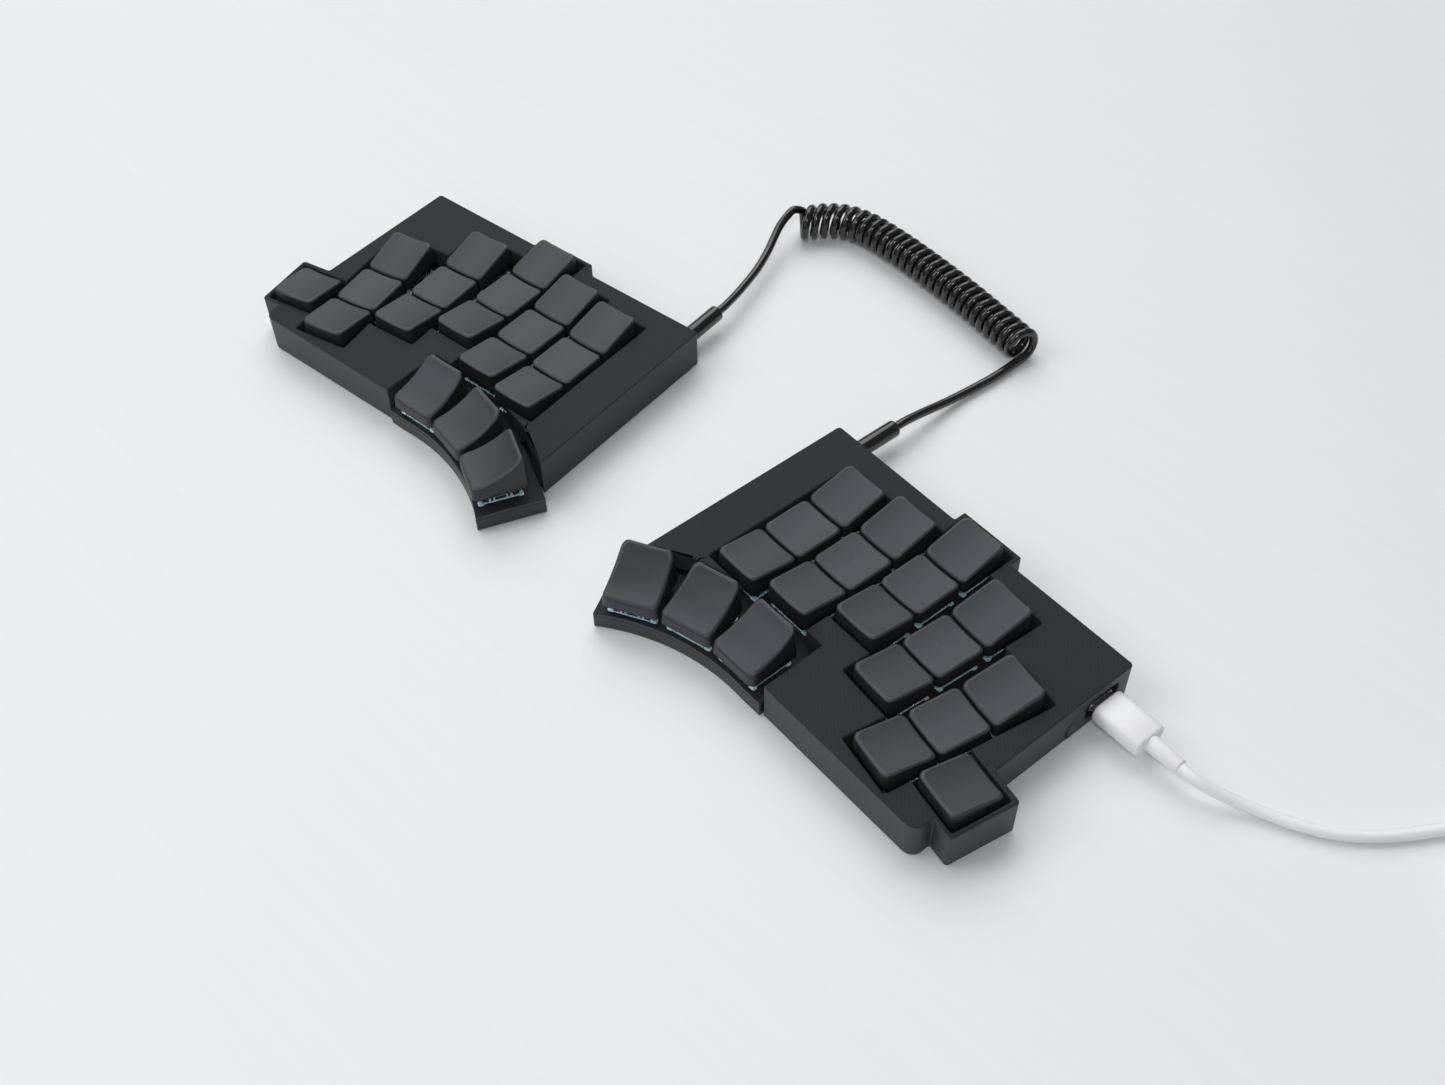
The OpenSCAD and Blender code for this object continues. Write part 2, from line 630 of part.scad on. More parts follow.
// Direction of the cable at a number of turns, from two places close by
function curl_way(t) = let (near = 0.01) unit(curl_at(t + near) - curl_at(t - near));
curl_in = curl_at(0) - curl_run * curl_way(0);
curl_out = curl_at(curl_turns) + curl_run * curl_way(curl_turns);
curl_path = concat([curl_in], [for (k = [0:curl_turns * curl_rings]) curl_at(k / curl_rings)], [curl_out]);
left_lead = concat(
    smooth(concat([link_end("left"), link_end("left") + plug_run * link_way("left")],
        [[-40.4, 75.2, 5.4], [-42.2, 81.8, 5.2], [-45, 90.6, 5], [-48.4, 99.2, 5.4], [-51, 105, 6.4],
         [-53, 110.4, 8], [-53.6, 114.6, 9.4], [-53.8, 118, 9.9]],
        [curl_in - curl_run * curl_way(0)]), 2), [curl_in]);
right_lead = concat([curl_out],
    smooth(concat([curl_out + curl_run * curl_way(curl_turns)],
        [[43.6, 109, 1.6], [42.4, 101, 1.6], [41.2, 93, 2], [40.2, 85, 3], [39.4, 77, 4.6]],
        [link_end("right") + plug_run * link_way("right"), link_end("right")]), 2));
echo(link_curl_gap = self_gap(curl_path, link_d, 5), link_length = total(steps(curl_path))
    + total(steps(left_lead)) + total(steps(right_lead)));

// Host cable: out of the right half's outer wall, across the desk and into a tied coil
usb_exit = placed([usb_mouth - grip_gap - grip_l - sleeve_l, usb_y, usb_z], "right");
usb_way = let (q = turned([-1, 0], half_lean)) [-q[0], q[1], 0];
coil_at = [262, 60];
coil_r = 18;
coil_turns = 8;
coil_rings = 24;
coil_step = cable_d + 0.5;
tie_t = 0.8;
coil_z = cable_d / 2 + tie_t + 0.15;
coil_angle = 144;
coil_half = coil_turns / 2;
// Turns into the middle on the lower layer, climbs in the half turn where it reverses, and comes out above
function coil_at_turn(t) = let (u = t <= coil_half ? t : coil_turns - t,
    r = coil_r + coil_step * (coil_half / 2 - u), a = coil_angle - 360 * t,
    climb = min(max((t - coil_half) * 2 + 0.5, 0), 1))
    [coil_at[0] + r * cos(a), coil_at[1] + r * sin(a), coil_z + coil_step * climb];
coil_path = with_ends([for (k = [0:coil_turns * coil_rings]) coil_at_turn(k / coil_rings)], cable_d);
coil_way = [sin(coil_angle), -cos(coil_angle), 0];
usb_path = concat(
    smooth(concat([usb_exit, usb_exit + plug_run * usb_way],
        [[181, 24, 4.4], [187.4, 26.6, 2.8], [194, 29.2, 1.9], [200.6, 31.8, 1.7], [207, 35, 1.7],
         [212.8, 39.2, 1.7], [218, 44.2, 1.7], [222.6, 49.6, 1.7], [227.8, 56.6, 1.7], [233, 64, 1.8]],
        [coil_path[0] - cable_d * way(coil_path, 0)]), 2), [coil_path[0]]);
tail_l = 26;
tail_down = 12;
host_end = last(coil_path) + tail_l * coil_way + [0, 0, grip_h / 2 - coil_z - coil_step];
tail_path = concat([last(coil_path)], smooth([last(coil_path) + cable_d * way_out(coil_path),
    host_end - tail_down * coil_way, host_end - plug_run * coil_way, host_end], 3));
echo(usb_coil_gap = self_gap(coil_path, cable_d, coil_rings / 2), usb_length = total(steps(usb_path))
    + total(steps(coil_path)) + total(steps(tail_path)));

// Sub-parts
module link_plug() {
    translate([link_x, 0, link_z]) rotate([-90, 0, 0]) {
        translate([0, 0, jack_y + 0.1]) cylinder(d = link_grip_d, h = far_edge + link_grip_l - jack_y - 0.1);
        translate([0, 0, jack_y - jack_l + 1.5]) cylinder(d = pin_d, h = jack_l);
    }
}
// Host plug along -X from the mouth: shell, grip and sleeve
module plug() {
    color(STEEL) rotate([90, 0, -90]) translate([0, 0, -shell_in]) difference() {
        linear_extrude(shell_l) rounded(shell_w, shell_h, 1.1);
        translate([0, 0, -1]) linear_extrude(shell_l)
            rounded(shell_w - 2 * shell_t, shell_h - 2 * shell_t, 0.8);
    }
    color(CABLE_WHITE) rotate([90, 0, -90]) {
        translate([0, 0, grip_gap]) linear_extrude(grip_l) rounded(grip_w, grip_h, grip_r);
        translate([0, 0, grip_gap + grip_l]) cylinder(d1 = sleeve_d, d2 = cable_d + 1, h = sleeve_l);
    }
}
module left_cover() { color(CASE_BLACK) in_half("left") cover(); }
module right_cover() { color(CASE_BLACK) in_half("right") cover(); }
module left_tray() { color(CASE_BLACK) in_half("left") tray(); }
module right_tray() { color(CASE_BLACK) in_half("right") tray(); }
module left_plate() { color(CASE_BLACK) in_half("left") plate(); }
module right_plate() { color(CASE_BLACK) in_half("right") plate(); }
module left_switches() { color(SWITCH_BLUE) in_half("left") at_keys() switch_body(); }
module right_switches() { color(SWITCH_BLUE) in_half("right") at_keys() switch_body(); }
module boards() { color(BOARD_BLACK) for (side = SIDES) in_half(side) board(); }
module controllers() { color(BOARD_BLACK) for (side = SIDES) in_half(side) controller(); }
module usb_sockets() { color(STEEL) for (side = SIDES) in_half(side) usb_socket(); }
module link_sockets() { color(CABLE_BLACK) for (side = SIDES) in_half(side) link_socket(); }
module left_screws() { color(STEEL) in_half("left") screw_set(); }
module right_screws() { color(STEEL) in_half("right") screw_set(); }
module link_plugs() { color(CABLE_BLACK) for (side = SIDES) in_half(side) link_plug(); }
module link_leads() {
    color(CABLE_BLACK) {
        tube(left_lead, link_d, 8);
        tube(right_lead, link_d, 8);
    }
}
module link_curls() { color(CABLE_BLACK) tube(curl_path, link_d, 6); }
module usb_plug() { in_half("right") translate([usb_mouth, usb_y, usb_z]) plug(); }
module usb_cord() {
    color(CABLE_WHITE) {
        tube(usb_path, cable_d, 8);
        tube(tail_path, cable_d, 8);
    }
}
module usb_coil() { color(CABLE_WHITE) tube(coil_path, cable_d, 6, [cos(coil_angle), sin(coil_angle), 0]); }
// Band round all the turns at one side of the coil
module coil_tie() {
    reach = coil_step * coil_half / 2 + cable_d / 2 + 1.2;
    high = 2 * coil_z + coil_step;
    color(CAP_BLACK) translate([coil_at[0], coil_at[1], 0]) rotate(-50) translate([coil_r, 0, 0])
        rotate([90, 0, 0]) linear_extrude(5, center = true) difference() {
            rect(-reach - tie_t, reach + tie_t, 0, high);
            rect(-reach, reach, tie_t, high - tie_t);
        }
}
module host_plug() {
    translate(host_end) rotate(coil_angle - 90)
        translate([sleeve_l + grip_l + grip_gap, 0, 0]) plug();
}

left_cover();
right_cover();
left_tray();
right_tray();
left_plate();
right_plate();
left_switches();
right_switches();
boards();
controllers();
usb_sockets();
link_sockets();
left_screws();
right_screws();
link_plugs();
link_leads();
link_curls();
usb_plug();
usb_cord();
usb_coil();
coil_tie();
host_plug();
for (side = SIDES) for (k = KEYS)
    key(key_name(side, k));
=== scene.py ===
"""Looks of a split keyboard: printed case halves, sculpted caps, clear switches, link and host cables."""

import math

import bmesh
import bpy
from mathutils import Matrix, Vector


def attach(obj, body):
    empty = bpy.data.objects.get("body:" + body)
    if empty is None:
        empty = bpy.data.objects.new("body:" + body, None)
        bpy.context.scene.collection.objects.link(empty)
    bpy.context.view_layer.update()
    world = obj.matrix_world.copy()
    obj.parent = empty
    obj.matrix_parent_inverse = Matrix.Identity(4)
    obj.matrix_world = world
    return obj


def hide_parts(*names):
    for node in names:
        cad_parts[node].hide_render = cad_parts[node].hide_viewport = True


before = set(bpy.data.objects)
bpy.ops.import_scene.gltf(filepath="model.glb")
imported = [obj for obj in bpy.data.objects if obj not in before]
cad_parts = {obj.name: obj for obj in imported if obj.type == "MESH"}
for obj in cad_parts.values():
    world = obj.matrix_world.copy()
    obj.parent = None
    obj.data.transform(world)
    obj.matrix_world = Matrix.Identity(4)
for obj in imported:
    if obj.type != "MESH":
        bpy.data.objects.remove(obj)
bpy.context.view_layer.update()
MM = 0.001
MIRROR = {"left": 1, "right": -1}
SIDES = tuple(MIRROR)

# Sizes of the keys and of the column layout, in millimetres, as in the part's source
PITCH_Y = 17.0
CAP_W, CAP_D = 16.4, 16.5
THUMB_W, THUMB_D = 17.0, 17.0
CAP_TOP = 14.1
RISE = {"far": 3.7, "home": 0.0, "near": -2.7, "thumb": 7.2}
DRAFT_X = {"far": 0.06, "home": 0.06, "near": 0.06, "thumb": 0.08}
DRAFT_Y = 0.02
CAP_CORNER = 1.8
DISH_R = 40.0
SCOOP_R = 24.0
CAP_WALL = 1.2
RIM_Z, CEILING_Z, STEM_Z = 9.5, 11.7, 6.7
PLATE_Z, BOARD_Z = 5.7, 3.5
HALF_X, HALF_LEAN = 50.4, 5.9
SPLAY = {"inner": 0.0, "index": 0.0, "middle": 0.0, "ring": 4.0, "pinky": 9.5}
HOME = {
    "inner": (0.0, 0.0),
    "index": (-18.0, 2.9),
    "middle": (-36.0, 11.4),
    "ring": (-55.4, 1.2),
    "pinky": (-73.7, -14.5),
}
ROWS = {"far": 1, "home": 0, "near": -1}
OUTER_STEP = (-18.0, -9.3)
THUMB_R, THUMB_FAN, THUMB_START = 74.0, 15.0, 1.0
THUMB_AT = (-22.8, -37.0)
FAR_EDGE, INNER_EDGE, EDGE_R = 35.7, 24.0, 1.2
THUMB_LIP, THUMB_END = 8.1, 10.9


def turned(point, degrees):
    """A flat point turned counter-clockwise about the origin."""
    angle = math.radians(degrees)
    x, y = point
    return (x * math.cos(angle) - y * math.sin(angle), x * math.sin(angle) + y * math.cos(angle))


def plus(a, b):
    """The sum of two flat points."""
    return (a[0] + b[0], a[1] + b[1])


THUMB_ARC = plus(THUMB_AT, turned((0, -THUMB_R), -THUMB_START))


def thumb_turn(i):
    return THUMB_START + i * THUMB_FAN


def thumb_at(i):
    return plus(THUMB_ARC, turned((0, THUMB_R), -thumb_turn(i)))


def half_offset():
    """How far each half stands from the origin in Y, so that the case is centred there."""
    lip_r = THUMB_R - THUMB_LIP
    reach = math.sqrt(lip_r**2 - THUMB_END**2) - THUMB_R
    deck_corner = plus(thumb_at(2), turned((THUMB_END, reach), -thumb_turn(2)))
    far_corner = (INNER_EDGE - EDGE_R, FAR_EDGE - EDGE_R)
    return -(turned(far_corner, HALF_LEAN)[1] + EDGE_R + turned(deck_corner, HALF_LEAN)[1]) / 2


HALF_Y = half_offset()


def placed(x, y, z, side):
    """A point of the left half's own frame, in the shared frame, in metres."""
    px, py = turned((x, y), HALF_LEAN)
    return Vector((MIRROR[side] * (px - HALF_X), py + HALF_Y, z)) * MM


def key_list():
    """Every key of one half: name, place, turn, profile and cap size."""
    keys = []
    for column, home in HOME.items():
        for row, step in ROWS.items():
            at = plus(home, turned((0, step * PITCH_Y), SPLAY[column]))
            keys.append((f"{column}_{row}", at, SPLAY[column], row, (CAP_W, CAP_D)))
    outer = plus(HOME["pinky"], turned(OUTER_STEP, SPLAY["pinky"]))
    keys.append(("outer", outer, SPLAY["pinky"], "near", (CAP_W, CAP_D)))
    for i in range(3):
        keys.append((f"thumb_{i + 1}", thumb_at(i), -thumb_turn(i), "thumb", (THUMB_W, THUMB_D)))
    return keys


KEYS = key_list()


def half_turn(side, turn):
    """A turn of the left half's own frame, in radians of the shared frame."""
    return MIRROR[side] * math.radians(turn + HALF_LEAN)


def half_matrix(side, at, turn):
    """Where something at a place and turn of the left half goes, for pieces that mirror onto themselves."""
    spot = placed(at[0], at[1], 0, side)
    return Matrix.Translation(spot) @ Matrix.Rotation(half_turn(side, turn), 4, "Z")


# Camera, with its focal length and the picture's width in pixels

FOCAL_LENGTH, PICTURE_WIDTH = 1619.05, 1445
SENSOR_WIDTH = 36.0


def set_camera():
    position = Vector((0.25121, -0.21807, 0.35798))
    right = Vector((0.70982, 0.70427, -0.01279))
    up = Vector((-0.52645, 0.54248, 0.65465))
    forward = Vector((-0.46799, 0.45795, -0.75582))
    data = bpy.data.cameras.new("camera")
    data.sensor_width = SENSOR_WIDTH
    data.lens = FOCAL_LENGTH / PICTURE_WIDTH * SENSOR_WIDTH
    data.clip_start, data.clip_end = 0.01, 20
    camera = bpy.data.objects.new("camera", data)
    turn = Matrix((right, up, -forward)).transposed().to_4x4()
    camera.matrix_world = Matrix.Translation(position) @ turn
    bpy.context.scene.collection.objects.link(camera)
    bpy.context.scene.camera = camera


# Materials


class Value:
    """A value in a material's tree, on which the operators add nodes."""

    def __init__(self, tree, socket):
        self.tree = tree
        self.socket = socket

    def math(self, operation, other=None, swapped=False):
        node = self.tree.nodes.new("ShaderNodeMath")
        node.operation = operation
        pair = [self, other] if not swapped else [other, self]
        for socket, value in zip(node.inputs, pair):
            if value is not None:
                connect(self.tree, socket, value)
        return Value(self.tree, node.outputs[0])

    def __add__(self, other):
        return self.math("ADD", other)

    def __radd__(self, other):
        return self.math("ADD", other)

    def __sub__(self, other):
        return self.math("SUBTRACT", other)

    def __rsub__(self, other):
        return self.math("SUBTRACT", other, swapped=True)

    def __mul__(self, other):
        return self.math("MULTIPLY", other)

    def __gt__(self, other):
        return self.math("GREATER_THAN", other)

    def sine(self):
        return self.math("SINE")


def connect(tree, socket, value):
    """Links a value to a socket, or sets a plain number or colour on it."""
    if isinstance(value, Value):
        tree.links.new(value.socket, socket)
    else:
        socket.default_value = value


class Finish:
    """A material with a Principled shader."""

    def __init__(self, name, **sockets):
        self.material = bpy.data.materials.new(name)
        self.material.use_nodes = True
        self.tree = self.material.node_tree
        self.shader = self.tree.nodes["Principled BSDF"]
        for label, value in sockets.items():
            self.set(label.replace("_", " ").title().replace("Ior", "IOR"), value)

    def set(self, label, value):
        connect(self.tree, self.shader.inputs[label], value)

    def node(self, kind, settings=None, values=None, out=0):
        """Any node: its settings first, then the values or links of its sockets."""
        node = self.tree.nodes.new(kind)
        for name, value in (settings or {}).items():
            setattr(node, name, value)
        for label, value in (values or {}).items():
            connect(self.tree, node.inputs[label], value)
        return Value(self.tree, node.outputs[out])

    def place(self):
        return self.node("ShaderNodeTexCoord", out="Object")

    def axes(self, vector):
        split = self.node("ShaderNodeSeparateXYZ", values={"Vector": vector}).socket.node
        return [Value(self.tree, socket) for socket in split.outputs]

    def noise(self, scale, detail=3.0, rough=0.5, vector=None):
        values = {"Vector": vector or self.place(), "Scale": scale, "Detail": detail, "Roughness": rough}
        return self.node("ShaderNodeTexNoise", values=values, out="Fac")

    def blend(self, share, a, b):
        """A colour between a and b."""
        return self.node("ShaderNodeMix", {"data_type": "RGBA"}, {0: share, 6: a, 7: b}, out=2)

    def bump(self, height, distance, strength=1.0):
        values = {"Height": height, "Distance": distance, "Strength": strength}
        self.set("Normal", self.node("ShaderNodeBump", values=values))


COOL = (0.85, 0.9, 1.0, 1)
LAYER_STEP, PASS_STEP, PASS_WANDER = 0.00045, 0.00145, 0.002
FLAT_FROM = 0.75


def printed_black():
    """Layered black print: level lines up the walls, slanting passes across the flats."""
    finish = Finish("printed_black", specular_ior_level=0.22, specular_tint=COOL, coat_roughness=0.35)
    place = finish.place()
    x, y, z = finish.axes(place)
    facing = finish.axes(finish.node("ShaderNodeNewGeometry", out="Normal"))
    flat = facing[2].math("ABSOLUTE") > FLAT_FROM
    blotch = finish.noise(60.0, 4.0, 0.6)
    layers = (z * (2 * math.pi / LAYER_STEP)).sine()
    passes = ((x + y + (blotch - 0.5) * PASS_WANDER) * (2 * math.pi / PASS_STEP)).sine()
    strength = 0.25 + blotch * 0.75
    lines = layers * 0.25 + flat * (passes * strength - layers * 0.25)
    grain = finish.noise(2600.0, 3.0, 0.6)
    # The flats are darker and the walls paler. This is partly the layered walls' own look and partly painted
    # light, standing in for the light the walls catch from the bright desk.
    top = finish.blend(blotch, (0.017, 0.0183, 0.0207, 1), (0.0245, 0.0264, 0.0298, 1))
    walls = finish.blend(blotch, (0.034, 0.0364, 0.041, 1), (0.0425, 0.0453, 0.051, 1))
    finish.set("Base Color", finish.blend(flat, walls, top))
    finish.set("Roughness", 0.58 + blotch * 0.1 + grain * 0.06 + lines * 0.03)
    finish.set("Coat Weight", 0.45 - flat * 0.45)
    finish.bump(lines * 0.6 + grain * 0.4, 0.00004, 0.8)
    return finish.material


def cap_black(name, shade, rough):
    """Smooth moulded cap with a fine satin grain, painted paler along its edges as a highlight."""
    finish = Finish(name, specular_ior_level=0.62, specular_tint=COOL)
    soft = finish.noise(90.0, 2.0, 0.5)
    grain = finish.noise(4200.0, 2.0, 0.5)
    painted_highlight = finish.node("ShaderNodeAttribute", {"attribute_name": "edge"}, out="Fac")
    low = (shade * 0.8, shade * 0.87, shade * 0.98, 1)
    high = (shade * 1.05, shade * 1.14, shade * 1.28, 1)
    pale = (shade * 2.8, shade * 3.0, shade * 3.3, 1)
    # The edges are painted paler: a painted highlight on the rounded edges, where they catch the light.
    finish.set("Base Color", finish.blend(painted_highlight * (0.25 + soft * 0.4), finish.blend(soft, low, high), pale))
    finish.set("Roughness", rough + soft * 0.08 + grain * 0.06)
    finish.bump(grain, 0.00001, 0.5)
    return finish.material


def moulded(name, colour, rough, spread=0.08, coat=0.0, shine=0.5):
    """Moulded plastic or rubber with a slight unevenness."""
    finish = Finish(name, coat_weight=coat, coat_roughness=0.1, specular_ior_level=shine)
    soft = finish.noise(160.0, 3.0, 0.55)
    fine = finish.noise(3000.0, 2.0, 0.5)
    low = tuple(c * (1 - spread) for c in colour) + (1,)
    high = tuple(min(c * (1 + spread), 1) for c in colour) + (1,)
    finish.set("Base Color", finish.blend(soft, low, high))
    finish.set("Roughness", rough + (soft - 0.5) * 0.1 + (fine - 0.5) * 0.08)
    finish.bump(fine, 0.000008, 0.4)
    return finish.material


def clear_blue():
    """Clear pale blue switch housing."""
    finish = Finish(
        "clear_blue", ior=1.5, specular_ior_level=1.0, transmission_weight=0.1, coat_weight=1.0,
        coat_roughness=0.03,
    )
    soft = finish.noise(700.0, 2.0, 0.5)
    finish.set("Base Color", finish.blend(soft, (0.45, 0.82, 0.94, 1), (0.86, 0.97, 0.99, 1)))
    finish.set("Roughness", 0.06 + soft * 0.08)
    return finish.material


def steel():
    """Steel with fine streaks along X."""
    finish = Finish("brushed_steel")
    place = finish.place()
    streak = finish.node("ShaderNodeMapping", values={"Vector": place, "Scale": (200, 4000, 4000)})
    lines = finish.noise(1.0, 3.0, 0.6, streak)
    finish.set("Base Color", finish.blend(lines, (0.5, 0.5, 0.49, 1), (0.68, 0.68, 0.66, 1)))
    finish.set("Metallic", 1.0)
    finish.set("Roughness", 0.25 + lines * 0.15)
    return finish.material


CASE = printed_black()
CAP = cap_black("cap_black", 0.02, 0.42)
STEM = moulded("stem_white", (0.72, 0.76, 0.78), 0.3)
CLEAR = clear_blue()
CORE = moulded("smoked_core", (0.02, 0.034, 0.042), 0.25, 0.3)
STEEL = steel()
BOARD = moulded("board_black", (0.012, 0.014, 0.016), 0.35, 0.2)
GLOSS_BLACK = moulded("cable_black", (0.007, 0.007, 0.0075), 0.15, 0.1, coat=0.3, shine=0.55)
SATIN_BLACK = moulded("plug_black", (0.014, 0.014, 0.015), 0.42, 0.15)
WHITE = moulded("cable_white", (0.87, 0.87, 0.88), 0.42, 0.03)


def new_piece(name, mesh, material, body, slot, *nodes):
    """A piece from a finished mesh, riding on a body in place of its nodes."""
    piece = bpy.data.objects.new(name, mesh)
    bpy.context.scene.collection.objects.link(piece)
    if not mesh.materials:
        mesh.materials.append(material)
    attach(piece, body)
    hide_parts(*nodes)
    return piece


def smooth_faces(mesh, angle=None):
    """Smooth shading, with edges sharper than the angle left crisp."""
    mesh.polygons.foreach_set("use_smooth", [True] * len(mesh.polygons))
    if angle is not None:
        mesh.set_sharp_from_angle(angle=math.radians(angle))


# Cables


def through(points, steps):
    """A smooth curve through the points, with a number of steps between neighbours."""
    points = [Vector(p) for p in points]
    last = len(points) - 1
    curve = []
    for i in range(last):
        a, b, c, d = (points[min(max(k, 0), last)] for k in (i - 1, i, i + 1, i + 2))
        for k in range(steps):
            t = k / steps
            square = 2 * a - 5 * b + 4 * c - d
            cube = 3 * b - a - 3 * c + d
            curve.append(0.5 * (2 * b + (c - a) * t + square * t**2 + cube * t**3))
    return curve + [points[last]]


def lengths(path):
    """How far along the path each of its points lies."""
    sums = [0.0]
    for a, b in zip(path, path[1:]):
        sums.append(sums[-1] + (b - a).length)
    return sums


def resample(path, step):
    """The same path with points at an even spacing."""
    sums = lengths(path)
    count = max(2, round(sums[-1] / step))
    out = []
    i = 0
    for k in range(count + 1):
        s = sums[-1] * k / count
        while i < len(sums) - 2 and sums[i + 1] < s:
            i += 1
        share = (s - sums[i]) / max(sums[i + 1] - sums[i], 1e-9)
        out.append(path[i].lerp(path[i + 1], min(share, 1.0)))
    return out


FIRST_NORMAL = Vector((0.31, 0.17, 1.0))
CRISP_ANGLE = 50


def tube(name, path, radius, sides):
    """A closed tube along a path, with a rounded skin and flat ends."""
    mesh = bpy.data.meshes.new(name)
    bm = bmesh.new()
    normal = FIRST_NORMAL
    rings = []
    for i, point in enumerate(path):
        ahead = (path[min(i + 1, len(path) - 1)] - path[max(i - 1, 0)]).normalized()
        normal = (normal - normal.dot(ahead) * ahead).normalized()
        side = ahead.cross(normal)
        ring = []
        for k in range(sides):
            angle = 2 * math.pi * k / sides
            ring.append(bm.verts.new(point + radius * (math.cos(angle) * normal + math.sin(angle) * side)))
        rings.append(ring)
    for a, b in zip(rings, rings[1:]):
        for k in range(sides):
            bm.faces.new((a[k], a[(k + 1) % sides], b[(k + 1) % sides], b[k]))
    bm.faces.new(list(reversed(rings[0])))
    bm.faces.new(rings[-1])
    bmesh.ops.recalc_face_normals(bm, faces=bm.faces)
    bm.to_mesh(mesh)
    bm.free()
    smooth_faces(mesh, CRISP_ANGLE)
    return mesh


# Steps of a curve: in one turn, between the axis points and between the points of a lead
TURN_STEPS, AXIS_STEPS, LEAD_STEPS = 24, 10, 8
# How far a cable runs straight out of its plug, in millimetres
STRAIGHT = 4
DESK_GAP = 0.05

LINK_D, CURL_R = 2.8, 4.6
LINK_SIDES, CABLE_SIDES = 12, 14
LINK_X, LINK_Z, LINK_GRIP = 17.6, 6.0, 17.4
CURL_AXIS_Z = CURL_R + LINK_D / 2 + DESK_GAP
CURL_TURNS, OPEN_TURNS, OPEN_STEP = 28.25, 6.0, 3.7
CURL_START, CURL_RUN = 90.0, 1.0
LEAN_TURN, LEAN_RUN = 40.0, 36.0
CURL_AXIS = [
    (-50.1, 118.2, 0), (-48.5, 120.8, 0), (-46.6, 123.7, 0), (-44.2, 126.3, 0), (-41.2, 128.6, 0),
    (-37.6, 130.2, 0), (-33, 131.2, 0), (-27, 131.6, 0), (-11, 130.6, 0), (13, 127.4, 0), (36, 123, 0),
    (44.4, 121.4, 0),
]
LEFT_LEAD = [
    (-40.4, 75.2, 5.4), (-42.2, 81.8, 5.2), (-45, 90.6, 5), (-48.4, 99.2, 5.4), (-51, 105, 6.4),
    (-53, 110.4, 8), (-53.6, 114.6, 9.4), (-53.8, 118, 9.9),
]
RIGHT_LEAD = [(43.6, 109, 1.6), (42.4, 101, 1.6), (41.2, 93, 2), (40.2, 85, 3), (39.4, 77, 4.6)]
LEFT_SPACING, RIGHT_SPACING = 1.0, 1.2


def curl_point():
    """A function that gives the cable's place at a number of turns along the curls, in millimetres."""
    axis = through(CURL_AXIS, AXIS_STEPS)
    sums = lengths(axis)
    close_step = (sums[-1] - OPEN_TURNS * OPEN_STEP) / (CURL_TURNS - OPEN_TURNS)

    def centre(s):
        """The point of the axis at a distance along it."""
        i = max(k for k in range(len(axis) - 1) if sums[k] <= max(s, 0))
        return axis[i] + (s - sums[i]) / (sums[i + 1] - sums[i]) * (axis[i + 1] - axis[i])

    def heading(s):
        """Where a curl faces: on the bend the curls lean over one another and turn less than the axis."""
        ahead = centre(max(s, LEAN_RUN) + 1) - centre(max(s, LEAN_RUN) - 1)
        return math.atan2(ahead.y, ahead.x) + math.radians(LEAN_TURN) * max(0, 1 - s / LEAN_RUN)

    def point(t):
        """The middle of the cable after a number of turns."""
        s = t * OPEN_STEP if t < OPEN_TURNS else OPEN_TURNS * OPEN_STEP + (t - OPEN_TURNS) * close_step
        side = Vector((-math.sin(heading(s)), math.cos(heading(s)), 0))
        angle = math.radians(CURL_START + 360 * t)
        up = Vector((0, 0, CURL_AXIS_Z + CURL_R * math.cos(angle)))
        return centre(s) + CURL_R * math.sin(angle) * side + up

    return point


def link_end(side):
    """Where the link cable leaves its plug, in millimetres."""
    return placed(LINK_X, FAR_EDGE + LINK_GRIP, LINK_Z, side) / MM


def link_way(side):
    """The direction out of a half's link port."""
    x, y = turned((0, 1), HALF_LEAN)
    return Vector((MIRROR[side] * x, y, 0))


def link_route():
    """The whole link cable from the left plug to the right plug, in metres."""
    point = curl_point()

    def way(t):
        """The cable's direction after a number of turns."""
        return (point(t + 0.01) - point(t - 0.01)).normalized()

    curls = [point(k / TURN_STEPS) for k in range(round(CURL_TURNS * TURN_STEPS) + 1)]
    into = curls[0] - 2 * CURL_RUN * way(0)
    out = curls[-1] + 2 * CURL_RUN * way(CURL_TURNS)
    start, first = link_end("left"), link_end("left") + STRAIGHT * link_way("left")
    end, last = link_end("right"), link_end("right") + STRAIGHT * link_way("right")
    left = through([start, first, *LEFT_LEAD, into], LEAD_STEPS)
    right = through([out, *RIGHT_LEAD, last, end], LEAD_STEPS)
    return [p * MM for p in resample(left, LEFT_SPACING) + curls + resample(right, RIGHT_SPACING)]


CABLE_D = 3.3
USB_Y, USB_Z, USB_MOUTH = 24.6, 6.13, -91.4
GRIP_W, GRIP_H, GRIP_L, GRIP_R, GRIP_GAP = 11.0, 6.1, 15.5, 2.4, 1.7
SLEEVE_L, SLEEVE_D = 10.0, 5.0
SHELL_W, SHELL_H, SHELL_T, SHELL_IN, SHELL_R = 8.2, 2.42, 0.3, 6.2, 1.1
USB_ROUTE = [
    (181, 24, 4.4), (187.4, 26.6, 2.8), (194, 29.2, 1.9), (200.6, 31.8, 1.7), (207, 35, 1.7),
    (212.8, 39.2, 1.7), (218, 44.2, 1.7), (222.6, 49.6, 1.7), (227.8, 56.6, 1.7), (233, 64, 1.8),
]
COIL_AT, COIL_R, COIL_TURNS, COIL_ANGLE = (262, 60), 18.0, 8, 144.0
COIL_STEP, TIE_T = CABLE_D + 0.5, 0.8
COIL_Z = CABLE_D / 2 + TIE_T + 0.15
TAIL_L, TAIL_BEND = 26, 12
HOST_SPACING = 1.4


